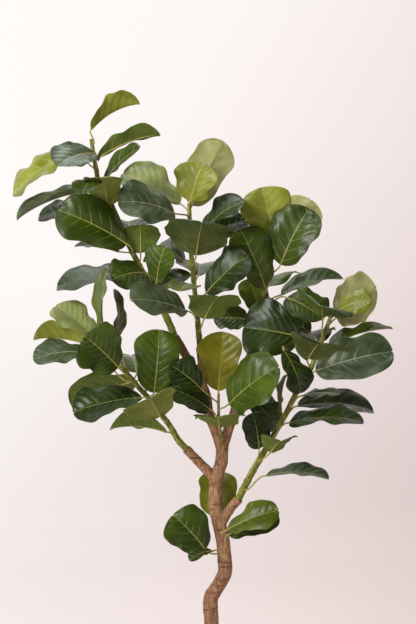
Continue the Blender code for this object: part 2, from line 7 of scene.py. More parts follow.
import bpy
import numpy as np
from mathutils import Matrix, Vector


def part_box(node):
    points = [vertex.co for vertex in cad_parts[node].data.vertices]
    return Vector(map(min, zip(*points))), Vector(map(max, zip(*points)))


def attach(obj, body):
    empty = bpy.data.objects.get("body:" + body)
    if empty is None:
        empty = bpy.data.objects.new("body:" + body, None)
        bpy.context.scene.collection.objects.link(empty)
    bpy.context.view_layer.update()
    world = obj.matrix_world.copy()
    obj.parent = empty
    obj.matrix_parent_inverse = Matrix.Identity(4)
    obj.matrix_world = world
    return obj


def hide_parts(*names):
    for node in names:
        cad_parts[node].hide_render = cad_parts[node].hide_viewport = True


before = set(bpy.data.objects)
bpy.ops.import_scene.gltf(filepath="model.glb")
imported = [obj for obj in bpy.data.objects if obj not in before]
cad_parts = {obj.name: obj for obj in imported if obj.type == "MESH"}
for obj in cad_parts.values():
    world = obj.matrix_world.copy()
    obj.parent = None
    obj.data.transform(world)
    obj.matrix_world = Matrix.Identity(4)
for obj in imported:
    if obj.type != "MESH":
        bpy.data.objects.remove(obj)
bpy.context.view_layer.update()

# %% [markdown]
# ## The course of the wood
# A trunk bends where it was pruned or trained. Each length is drawn by a handful of points in centimetres and
# a smooth line is passed through them, so that moving one point bends the wood gently.

# %% Sizes, in metres, and courses, in centimetres
CM = 0.01
POT_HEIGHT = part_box("pot")[1][2]
soil_low, soil_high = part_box("soil")
SOIL_TOP = 0.235
TRUNK_FOOT = 9.5
TRUNK_RADIUS = 0.019
ARM_RADIUS = 0.012
STUB_RADIUS = 0.010
STEM_RADIUS = 0.0092
TWIG_RADIUS = 0.0035
PETIOLE_RADIUS = 0.0022
LEAF_WIDTH_SCALE = 1.1

COURSES = {
    "lower_trunk": [(0, 0, TRUNK_FOOT), (0, 0, 24), (0, 0, 37), (-0.3, 0, 41.5), (0.0, 0, 44.5),
                    (2.2, 0, 48), (3.6, 0, 51), (3.5, 0, 54.5), (3.0, 0, 60), (1.9, 0, 65),
                    (1.1, 0, 69), (1.1, 0, 74.4)],
    "upper_trunk": [(1.1, 0, 74.4), (1.4, 0, 77), (2.6, 0, 80.5), (2.9, 0, 84), (2.8, 0, 86.5)],
    "stub_right": [(2.3, 0, 63.5), (4.6, -0.6, 67.5), (7.3, -1.5, 71)],
    "stub_left": [(1.4, 0, 76), (-2.6, -1.0, 80), (-6.8, -2.5, 84.5)],
    "arm_left": [(2.7, 0, 84.5), (1.2, 0, 89), (-0.8, 0, 94), (-1.8, 0, 100), (-5.5, -0.5, 107),
                 (-9.9, -1, 114.5)],
    "arm_centre": [(-1.6, 0, 98), (-2.5, -0.3, 104), (-3.1, -0.8, 111.8)],
    "arm_right": [(2.9, 0, 84.5), (4.4, 1, 89), (6.2, 2, 94), (7.7, 2.7, 100), (8.8, 3, 104.3)],
    "stem_left": [(-9.9, -1, 114.5), (-11.3, -1.1, 118), (-13.4, -1.3, 122.4), (-16.6, -1.6, 128.5),
                  (-19.4, -2.0, 133.7), (-22.5, -2.3, 139.9), (-26.9, -2.7, 149.9), (-29.4, -2.9, 153),
                  (-30.5, -3.0, 157), (-31.4, -3.0, 162), (-32.3, -3.0, 167.7)],
    "stem_centre": [(-3.1, -0.8, 111.8), (-3.5, -1, 116), (-3.8, -1.3, 120), (-4.5, -1.7, 126.5),
                    (-5.1, -2, 133), (-5.7, -2, 140), (-5.9, -2, 146), (-6.0, -2, 150.5)],
    "stem_right": [(8.8, 3, 104.3), (9.9, 3.2, 108.3), (12, 3.5, 116.4), (13.7, 3.8, 124.5),
                   (15.3, 4, 131.3), (17.2, 4, 139)],
    "branch_right": [(7.3, -1.5, 71), (9, -2, 74.5), (11.2, -2.5, 78.7), (13.8, -3, 83.2),
                     (18.2, -4, 91), (20.4, -4.3, 95), (23.1, -4.7, 100.5), (26, -5, 105),
                     (28, -5.3, 110), (30, -5.7, 115), (32, -6, 120.7)],
    "branch_left": [(-6.8, -2.5, 84.5), (-9, -3.3, 87), (-11.2, -4, 90.8), (-13.5, -4.6, 94),
                    (-16.1, -5.3, 97.5), (-19.3, -6.2, 101), (-21.9, -7.2, 104.3), (-24.6, -8.5, 107)],
    "twig_centre": [(2.85, 0, 86), (2.8, -2.6, 87.2), (2.3, -2.9, 90), (1.9, -2.9, 94), (1.9, -2.9, 99.3)],
}
# size of a length, then its share of that size at the start and at the end
GIRTH = {
    TRUNK_RADIUS: {"lower_trunk": (1.08, 0.97), "upper_trunk": (0.97, 0.86)},
    STUB_RADIUS: {"stub_right": (1.35, 1.2), "stub_left": (1.45, 1.15)},
    ARM_RADIUS: {"arm_left": (1.3, 0.95), "arm_centre": (0.9, 0.82), "arm_right": (1.25, 0.92)},
    STEM_RADIUS: {"stem_left": (1.05, 0.6), "stem_centre": (0.88, 0.6), "stem_right": (0.92, 0.6),
                  "branch_right": (1.05, 0.6), "branch_left": (0.95, 0.6)},
    TWIG_RADIUS: {"twig_centre": (1.2, 1)},
}
RADII = {key: (size * first, size * last)
         for size, lengths in GIRTH.items() for key, (first, last) in lengths.items()}
print("lengths of wood:", len(COURSES))

# %% [markdown]
# ## A smooth line through points
# A Catmull-Rom line passes through every point given to it. Whole arrays are worked out at once: the piece of
# line between points 1 and 2 is a cubic in t whose four weights use the point before and the point after.


# %% Smooth line, direction along it, and a frame that doesn't twist
def smooth_line(points, count):
    """Points: half of 2 p1 + (p2 - p0) t + (2 p0 - 5 p1 + 4 p2 - p3) t2 + (3 p1 - p0 - 3 p2 + p3) t3."""
    points = np.asarray(points, float)
    padded = np.vstack([2 * points[0] - points[1], points, 2 * points[-1] - points[-2]])
    place = np.linspace(0, len(points) - 1, count)
    first = np.minimum(place.astype(int), len(points) - 2)
    t = (place - first)[:, None]
    p0, p1, p2, p3 = (padded[first + k] for k in range(4))
    return 0.5 * (2 * p1 + (p2 - p0) * t + (2 * p0 - 5 * p1 + 4 * p2 - p3) * t ** 2
                  + (3 * p1 - p0 - 3 * p2 + p3) * t ** 3)


def unit(v):
    """Each vector divided by its length."""
    return v / np.maximum(np.linalg.norm(v, axis=-1, keepdims=True), 1e-12)


def directions(line):
    """Direction of travel at each point: the difference of its neighbours, made a unit."""
    return unit(np.gradient(line, axis=0))


def frames(line):
    """(direction, across, up) at each point; across is square to the axis that the line runs least along."""
    ahead = directions(line)
    axis = np.eye(3)[np.argmin(np.abs(ahead).max(axis=0))]
    across = unit(np.cross(ahead, axis))
    return ahead, across, np.cross(across, ahead)


halfway = smooth_line([(0, 0, 0), (1, 0, 0)], 3)[1]
print("a straight line stays straight:", np.allclose(halfway, (0.5, 0, 0)))


# %% [markdown]
# ## Surfaces as grids
# A tube is a grid: rows go along the line and columns go round it. A leaf blade is a grid too. One helper
# turns any grid into faces, and another puts several shells into one mesh with their materials and UV map.

# %% Grid faces, tubes and pieces
def grid_faces(rows, columns, closed, start=0):
    """Four-sided faces between row i and i + 1; when closed, the last column joins the first."""
    i = np.arange(rows - 1)[:, None]
    j = np.arange(columns if closed else columns - 1)[None, :]
    after = (j + 1) % columns
    corners = [i * columns + j, i * columns + after, (i + 1) * columns + after, (i + 1) * columns + j]
    return np.stack(np.broadcast_arrays(*corners), axis=-1).reshape(-1, 4) + start


def tube(line, radii, sides, relief=None):
    """Shell round a line: point = middle + r (cos a across + sin a up), where relief(share, a) scales r."""
    ahead, across, up = frames(line)
    angle = np.linspace(0, 2 * np.pi, sides, endpoint=False)
    share = np.linspace(0, 1, len(line))
    r = np.broadcast_to(np.asarray(radii, float), (len(line),))[:, None] * np.ones(sides)[None, :]
    if relief is not None:
        r = r * relief(share[:, None], angle[None, :])
    spokes = across[:, None] * np.cos(angle)[None, :, None] + up[:, None] * np.sin(angle)[None, :, None]
    verts = (line[:, None] + spokes * r[..., None]).reshape(-1, 3)
    faces = grid_faces(len(line), sides, True).tolist()
    last = (len(line) - 1) * sides
    faces.append(list(range(sides))[::-1])
    faces.append(list(range(last, last + sides)))
    uv = np.stack(np.broadcast_arrays(share[:, None], angle[None, :] / (2 * np.pi)), axis=-1).reshape(-1, 2)
    return verts, faces, uv


def outward(faces):
    """The same faces turned to look the other way."""
    return [face[::-1] for face in faces]


def piece(name, shells, materials, node):
    """One object on the root body; shells are (points, faces, uv), then a material number if not 0."""
    points, faces, uvs, slots = [], [], [], []
    for verts, shell_faces, uv, *slot in shells:
        start = sum(len(p) for p in points)
        points.append(verts)
        uvs.append(uv)
        faces.extend([[start + k for k in face] for face in shell_faces])
        slots.extend((slot or [0]) * len(shell_faces))
    mesh = bpy.data.meshes.new(name)
    mesh.from_pydata(np.vstack(points).tolist(), [], faces)
    mesh.polygons.foreach_set("use_smooth", [True] * len(faces))
    mesh.polygons.foreach_set("material_index", slots)
    corner = np.empty(len(mesh.loops), int)
    mesh.loops.foreach_get("vertex_index", corner)
    layer = mesh.uv_layers.new(name="surface")
    layer.data.foreach_set("uv", np.vstack(uvs)[corner].ravel())
    for look in materials:
        mesh.materials.append(look)
    mesh.update()
    made = bpy.data.objects.new(name, mesh)
    bpy.context.scene.collection.objects.link(made)
    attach(made, "root")
    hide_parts(node)
    return made


print("faces of a 3 by 4 closed grid:", len(grid_faces(3, 4, True)))


# %% [markdown]
# ## Finishes
# A finish is a small network of nodes. Patterns here read Object coordinates, which are metres in the piece's
# own space, or the piece's UV map where they follow the surface, such as the veins of a leaf.

# %% Helpers that write node networks
def finish_of(name, roughness, specular):
    """A new material with a Principled shader whose even values are set on its own sockets."""
    look = bpy.data.materials.new(name)
    look.use_nodes = True
    shader = look.node_tree.nodes["Principled BSDF"]
    shader.inputs["Roughness"].default_value = roughness
    shader.inputs["Specular IOR Level"].default_value = specular
    return look, look.node_tree, shader


def feed(tree, socket, value):
    """Sets a socket to a number or an (r, g, b), or links it to another socket."""
    if isinstance(value, float):
        socket.default_value = value
    elif isinstance(value, tuple):
        socket.default_value = (*value, 1.0)
    elif value is not None:
        tree.links.new(value, socket)


def math(tree, operation, a, b=None):
    """A Math node; a and b are sockets or numbers."""
    made = tree.nodes.new("ShaderNodeMath")
    made.operation = operation
    feed(tree, made.inputs[0], a)
    feed(tree, made.inputs[1], b)
    return made.outputs[0]


def times(tree, a, b):
    """a times b."""
    return math(tree, "MULTIPLY", a, b)


def ramp(tree, value, low, high):
    """0 below low, 1 above high, smooth between; low may be above high."""
    made = tree.nodes.new("ShaderNodeMapRange")
    made.interpolation_type = "SMOOTHSTEP"
    tree.links.new(value, made.inputs["Value"])
    made.inputs["From Min"].default_value = low
    made.inputs["From Max"].default_value = high
    return made.outputs["Result"]


def blend(tree, share, a, b):
    """Colour a where share is 0 and b where it is 1; both are sockets or (r, g, b)."""
    made = tree.nodes.new("ShaderNodeMix")
    made.data_type = "RGBA"
    feed(tree, made.inputs["Factor"], share)
    feed(tree, made.inputs[6], a)
    feed(tree, made.inputs[7], b)
    return made.outputs[2]


def object_place(tree):
    """Where a spot is, in the piece's own space."""
    return tree.nodes.new("ShaderNodeTexCoord").outputs["Object"]


def noise(tree, scale, detail, stretch=(1, 1, 1)):
    """Noise in Object coordinates, finer with scale and drawn out along an axis whose stretch is small."""
    turn = tree.nodes.new("ShaderNodeMapping")
    turn.inputs["Scale"].default_value = stretch
    tree.links.new(object_place(tree), turn.inputs["Vector"])
    made = tree.nodes.new("ShaderNodeTexNoise")
    made.inputs["Scale"].default_value = scale
    made.inputs["Detail"].default_value = detail
    tree.links.new(turn.outputs["Vector"], made.inputs["Vector"])
    return made.outputs["Fac"]


def cells(tree, scale):
    """Distance to the nearest cell wall in Object coordinates."""
    made = tree.nodes.new("ShaderNodeTexVoronoi")
    made.feature = "DISTANCE_TO_EDGE"
    made.inputs["Scale"].default_value = scale
    tree.links.new(object_place(tree), made.inputs["Vector"])
    return made.outputs["Distance"]


def paint(tree, shader, colour):
    """Makes the colour the shader's base colour."""
    tree.links.new(colour, shader.inputs["Base Color"])


def stain(tree, colour, mask, amount, over):
    """The colour with another laid over it, as strongly as amount where the mask is 1."""
    return blend(tree, times(tree, mask, amount), colour, over)


def surface_map(tree):
    """The piece's own UV map, as (U, V)."""
    chart = tree.nodes.new("ShaderNodeUVMap")
    chart.uv_map = "surface"
    split = tree.nodes.new("ShaderNodeSeparateXYZ")
    tree.links.new(chart.outputs["UV"], split.inputs["Vector"])
    return split.outputs["X"], split.outputs["Y"]


def relief(tree, shader, height, depth, strength):
    """Bump whose full height is depth metres, weakened to strength."""
    made = tree.nodes.new("ShaderNodeBump")
    made.inputs["Strength"].default_value = strength
    made.inputs["Distance"].default_value = depth
    tree.links.new(height, made.inputs["Height"])
    tree.links.new(made.outputs["Normal"], shader.inputs["Normal"])


print("node helpers ready")

# %% [markdown]
# ## Leaf finishes
# The upper side of a fiddle leaf is waxy and dark, with sunken pale veins. The lower side is duller and
# paler, with raised yellow veins. The UV map of a blade says how far along the row of side veins a spot is
# (U, one unit from vein to vein) and how far it is from the midrib (V, which grows faster towards the tip, so
# veins get finer there). The vein pattern bends with the blade and costs no faces.


# %% Upper and lower side of the blade, in tones from old dark leaves to young yellow ones; the deep tone is partly painted shade and one blue-grey tone is a painted sheen
def veins(tree, thickness):
    """(side veins, midrib, distance from between two veins): the first two are 1 on the vein, 0 away."""
    along, out = surface_map(tree)
    off = math(tree, "ABSOLUTE", math(tree, "SUBTRACT", math(tree, "FRACT", along), 0.5))
    side = ramp(tree, off, 0.5 - thickness, 0.5)
    fade = ramp(tree, out, 0.75, 0.06)
    uneven = ramp(tree, noise(tree, 34.0, 2.0), 0.30, 0.62)
    middle = ramp(tree, out, 0.019, 0.008)
    return times(tree, times(tree, side, fade), uneven), middle, off


def upper_side(name, deep, fresh, vein):
    """Waxy upper side: deep green drifting to fresh green between the veins, fine net of small veins."""
    look, tree, shader = finish_of(name, 0.33, 0.28)
    side, middle, off = veins(tree, 0.05)
    colour = blend(tree, ramp(tree, noise(tree, 14.0, 3.0), 0.35, 0.7), deep, fresh)
    colour = stain(tree, colour, ramp(tree, off, 0.30, 0.5), 0.12, fresh)
    colour = stain(tree, colour, side, 0.75, vein)
    colour = stain(tree, colour, middle, 0.8, vein)
    paint(tree, shader, colour)
    rough = math(tree, "ADD", times(tree, noise(tree, 45.0, 2.0), 0.16), 0.22)
    tree.links.new(rough, shader.inputs["Roughness"])
    net = ramp(tree, cells(tree, 210.0), 0.0, 0.12)
    height = math(tree, "SUBTRACT", times(tree, net, 0.22), times(tree, side, 0.8))
    height = math(tree, "SUBTRACT", height, times(tree, middle, 0.6))
    relief(tree, shader, height, 0.0009, 0.7)
    return look


def lower_side(name, body, edge, vein):
    """Dull underside: paler green, raised yellow veins and a soft net between them."""
    look, tree, shader = finish_of(name, 0.6, 0.18)
    side, middle, _ = veins(tree, 0.06)
    colour = blend(tree, ramp(tree, noise(tree, 16.0, 3.0), 0.35, 0.7), body, edge)
    net = ramp(tree, cells(tree, 190.0), 0.10, 0.0)
    colour = stain(tree, colour, net, 0.22, vein)
    colour = stain(tree, colour, side, 0.75, vein)
    colour = blend(tree, middle, colour, vein)
    paint(tree, shader, colour)
    height = math(tree, "ADD", times(tree, side, 0.9), times(tree, net, 0.25))
    relief(tree, shader, height, 0.0010, 0.8)
    return look


# tone: upper deep, upper fresh, upper vein, lower body, lower edge, lower vein
TONES = {
    # deep: nearly black-green, partly the leaves' own dark colour and partly painted shade for leaves inside
    # the crown
    "deep": ((0.012, 0.023, 0.003), (0.025, 0.044, 0.005), (0.24, 0.27, 0.07),
             (0.040, 0.066, 0.013), (0.066, 0.092, 0.024), (0.34, 0.31, 0.10)),
    "dark": ((0.022, 0.038, 0.003), (0.044, 0.070, 0.005), (0.30, 0.31, 0.07),
             (0.050, 0.084, 0.013), (0.080, 0.122, 0.026), (0.38, 0.34, 0.10)),
    "green": ((0.032, 0.058, 0.003), (0.066, 0.104, 0.006), (0.34, 0.34, 0.08),
              (0.062, 0.104, 0.013), (0.098, 0.148, 0.026), (0.42, 0.37, 0.10)),
    # painted sheen: a blue-grey cast that stands for the glossy upper side reflecting the pale surroundings,
    # given to both sides of these leaves
    "painted_sheen": ((0.036, 0.054, 0.020), (0.078, 0.102, 0.050), (0.36, 0.38, 0.22),
             (0.066, 0.090, 0.040), (0.105, 0.130, 0.066), (0.40, 0.36, 0.15)),
    "mid": ((0.052, 0.076, 0.003), (0.104, 0.134, 0.007), (0.34, 0.33, 0.07),
            (0.090, 0.124, 0.015), (0.135, 0.168, 0.028), (0.44, 0.37, 0.10)),
    "light": ((0.130, 0.150, 0.010), (0.235, 0.250, 0.032), (0.42, 0.43, 0.14),
              (0.170, 0.200, 0.018), (0.260, 0.285, 0.045), (0.46, 0.38, 0.10)),
    # pale: the own colour of pale olive leaves; on c02 its grey upper side is a painted sheen
    "pale": ((0.200, 0.240, 0.070), (0.290, 0.320, 0.120), (0.40, 0.42, 0.16),
             (0.330, 0.340, 0.120), (0.450, 0.450, 0.210), (0.28, 0.33, 0.05)),
    "yellow": ((0.085, 0.085, 0.001), (0.150, 0.140, 0.002), (0.22, 0.14, 0.01),
               (0.190, 0.200, 0.006), (0.250, 0.250, 0.010), (0.40, 0.33, 0.04)),
}
LOOKS = {tone: (upper_side("leaf_upper_" + tone, *c[:3]), lower_side("leaf_lower_" + tone, *c[3:]))
         for tone, c in TONES.items()}
print("leaf tones:", list(LOOKS))

# %% [markdown]
# ## Bark, green stems and stalks
# Bark has fibres that run up the trunk, so its noise is squeezed across and stretched along Z. Young stems
# are smooth green with paler streaks. Leaf stalks go from yellow green to a warm orange collar at the stem.


# %% Woody and green finishes
def bark_finish():
    """Brown bark: fibres along the trunk and dark scars."""
    look, tree, shader = finish_of("bark", 0.85, 0.12)
    fibre = noise(tree, 240.0, 5.0, (1, 1, 0.22))
    patch = noise(tree, 26.0, 4.0, (1, 1, 0.5))
    speck = noise(tree, 130.0, 3.0)
    crack = noise(tree, 110.0, 3.0, (0.14, 0.14, 1))
    colour = blend(tree, ramp(tree, fibre, 0.32, 0.70), (0.200, 0.098, 0.052), (0.430, 0.245, 0.145))
    colour = stain(tree, colour, ramp(tree, patch, 0.48, 0.72), 0.55, (0.150, 0.072, 0.038))
    colour = stain(tree, colour, ramp(tree, crack, 0.60, 0.66), 0.7, (0.080, 0.045, 0.028))
    colour = stain(tree, colour, ramp(tree, speck, 0.66, 0.71), 0.85, (0.050, 0.028, 0.018))
    paint(tree, shader, colour)
    height = math(tree, "ADD", times(tree, fibre, 0.5), times(tree, patch, 0.6))
    height = math(tree, "SUBTRACT", height, times(tree, ramp(tree, crack, 0.58, 0.68), 0.7))
    relief(tree, shader, height, 0.0022, 0.9)
    return look


def stem_finish():
    """Green shoot: olive with pale lengthwise streaks and small brown specks."""
    look, tree, shader = finish_of("green_stem", 0.5, 0.3)
    streak = noise(tree, 230.0, 4.0, (1, 1, 0.08))
    speck = noise(tree, 420.0, 2.0)
    scar = noise(tree, 120.0, 2.0, (0.12, 0.12, 1))
    colour = blend(tree, ramp(tree, streak, 0.38, 0.66), (0.095, 0.110, 0.008), (0.265, 0.280, 0.040))
    colour = stain(tree, colour, ramp(tree, speck, 0.62, 0.70), 0.6, (0.110, 0.055, 0.022))
    colour = stain(tree, colour, ramp(tree, scar, 0.65, 0.70), 0.5, (0.150, 0.080, 0.030))
    paint(tree, shader, colour)
    relief(tree, shader, streak, 0.0008, 0.8)
    return look


def stalk_finish():
    """Leaf stalk and midrib: U on its tube runs from the stem, 0, to the leaf's tip, 1."""
    look, tree, shader = finish_of("leaf_stalk", 0.45, 0.45)
    along, _ = surface_map(tree)
    mottle = ramp(tree, noise(tree, 150.0, 3.0), 0.35, 0.65)
    colour = blend(tree, mottle, (0.260, 0.230, 0.045), (0.430, 0.350, 0.085))
    collar = ramp(tree, along, 0.05, 0.0)
    colour = stain(tree, colour, collar, 0.8, (0.520, 0.270, 0.120))
    paint(tree, shader, colour)
    relief(tree, shader, noise(tree, 300.0, 3.0, (1, 1, 0.3)), 0.0005, 0.6)
    return look


BARK = bark_finish()
STEM = stem_finish()
STALK = stalk_finish()
print("wood finishes:", BARK.name, STEM.name, STALK.name)

# %% [markdown]
# ## Trunk and arms
# The trunk is a tube whose radius swells and shrinks with a few waves that differ round and along it, which
# reads as knots and ribs. Arms and stubs are further tubes that start inside it. A voxel remesh then melts
# them into one skin, so a fork has a soft crotch instead of a hard line.


# %% Tubes of wood
SKIN_VOXEL = 0.0016


def course(key):
    """A length's points in metres."""
    return np.array(COURSES[key], float) * CM


def knots(amount, seed):
    """Relief: 1 + amount (ribs that drift round + slow swellings + small lumps)."""
    def shape(share, angle):
        ribs = np.sin(5 * angle + 9 * share + seed) * 0.30 + np.sin(9 * angle - 14 * share + 2 * seed) * 0.20
        swell = np.sin(23 * share + seed) * 0.35 + np.sin(51 * share + 3 * seed) * 0.25
        lumps = np.sin(3 * angle + 60 * share + seed) * np.sin(2 * angle - 41 * share) * 0.45
        return 1 + amount * (ribs + swell + lumps)
    return shape


def wood(key, count, sides, amount, seed, flare=0.0):
    """Tube along a course, tapering between its two radii; flare widens its far end like a sleeve."""
    first, last = RADII[key]
    line = smooth_line(course(key), count)
    share = np.linspace(0, 1, count)
    radii = first + (last - first) * share
    radii = radii * (1 + flare * np.clip((share - 0.86) / 0.06, 0, 1))
    return tube(line, radii, sides, knots(amount, seed))


def melt(made):
    """Remeshes the shells of an object into one skin, smooths it and keeps the result as its mesh."""
    skin = made.modifiers.new("skin", "REMESH")
    skin.mode = "VOXEL"
    skin.voxel_size = SKIN_VOXEL
    skin.use_smooth_shade = True
    soften = made.modifiers.new("soften", "SMOOTH")
    soften.factor = 0.5
    soften.iterations = 3
    bpy.context.view_layer.update()
    shape = made.evaluated_get(bpy.context.evaluated_depsgraph_get())
    whole = bpy.data.meshes.new_from_object(shape)
    made.modifiers.clear()
    made.data = whole
    made.data.shade_smooth()


def trunk(name, node, tubes):
    """Tubes of wood, each a row of wood()'s arguments, melted into one piece."""
    made = piece(name, [wood(*row) for row in tubes], [BARK], node)
    melt(made)
    return made


lower = trunk("trunk_lower", "lower_trunk", [("lower_trunk", 220, 40, 0.04, 0.4),
                                             ("stub_right", 40, 24, 0.05, 1.9, 0.10)])
upper = trunk("trunk_upper", "upper_trunk", [
    ("upper_trunk", 60, 40, 0.05, 2.2), ("arm_left", 120, 28, 0.05, 3.1, 0.08),
    ("arm_right", 90, 28, 0.05, 4.0, 0.08), ("arm_centre", 60, 24, 0.05, 5.2, 0.10),
    ("stub_left", 50, 24, 0.05, 6.1, 0.08)])
print("trunk faces:", len(lower.data.polygons), len(upper.data.polygons))


# %% [markdown]
# ## Green stems
# A shoot thickens slightly at each joint where a leaf once grew, which a small bump in radius at even steps
# shows. Each stem is a piece of its own, because it stands for its own solid.

# %% Stems and twig
def joints(count, amount):
    """Relief: 1 + amount at count narrow rings along the stem, nothing between."""
    def shape(share, angle):
        ring = np.exp(-((share * count - np.round(share * count)) / 0.10) ** 2)
        return 1 + amount * ring + 0.03 * np.sin(4 * angle + 11 * share)
    return shape


STEM_ROWS = 170
STEM_SIDES = 20
JOINT_SWELL = 0.12
JOINTS = {"stem_left": 15, "stem_centre": 10, "stem_right": 9, "branch_right": 15, "branch_left": 9,
          "twig_centre": 4}
for key, rings in JOINTS.items():
    line = smooth_line(course(key), STEM_ROWS)
    shell = tube(line, np.linspace(*RADII[key], STEM_ROWS), STEM_SIDES, joints(rings, JOINT_SWELL))
    piece(key + "_shoot", [shell], [STEM], key)
print("stems:", list(JOINTS))

# %% [markdown]
# ## Leaves: where each one grows
# Leaves are listed by the stem they grow on. Each has a line of its own: the height at which its stalk leaves
# the stem, where the blade starts and ends, how wide it is, which way its upper side faces and how strongly
# it arches, in centimetres.

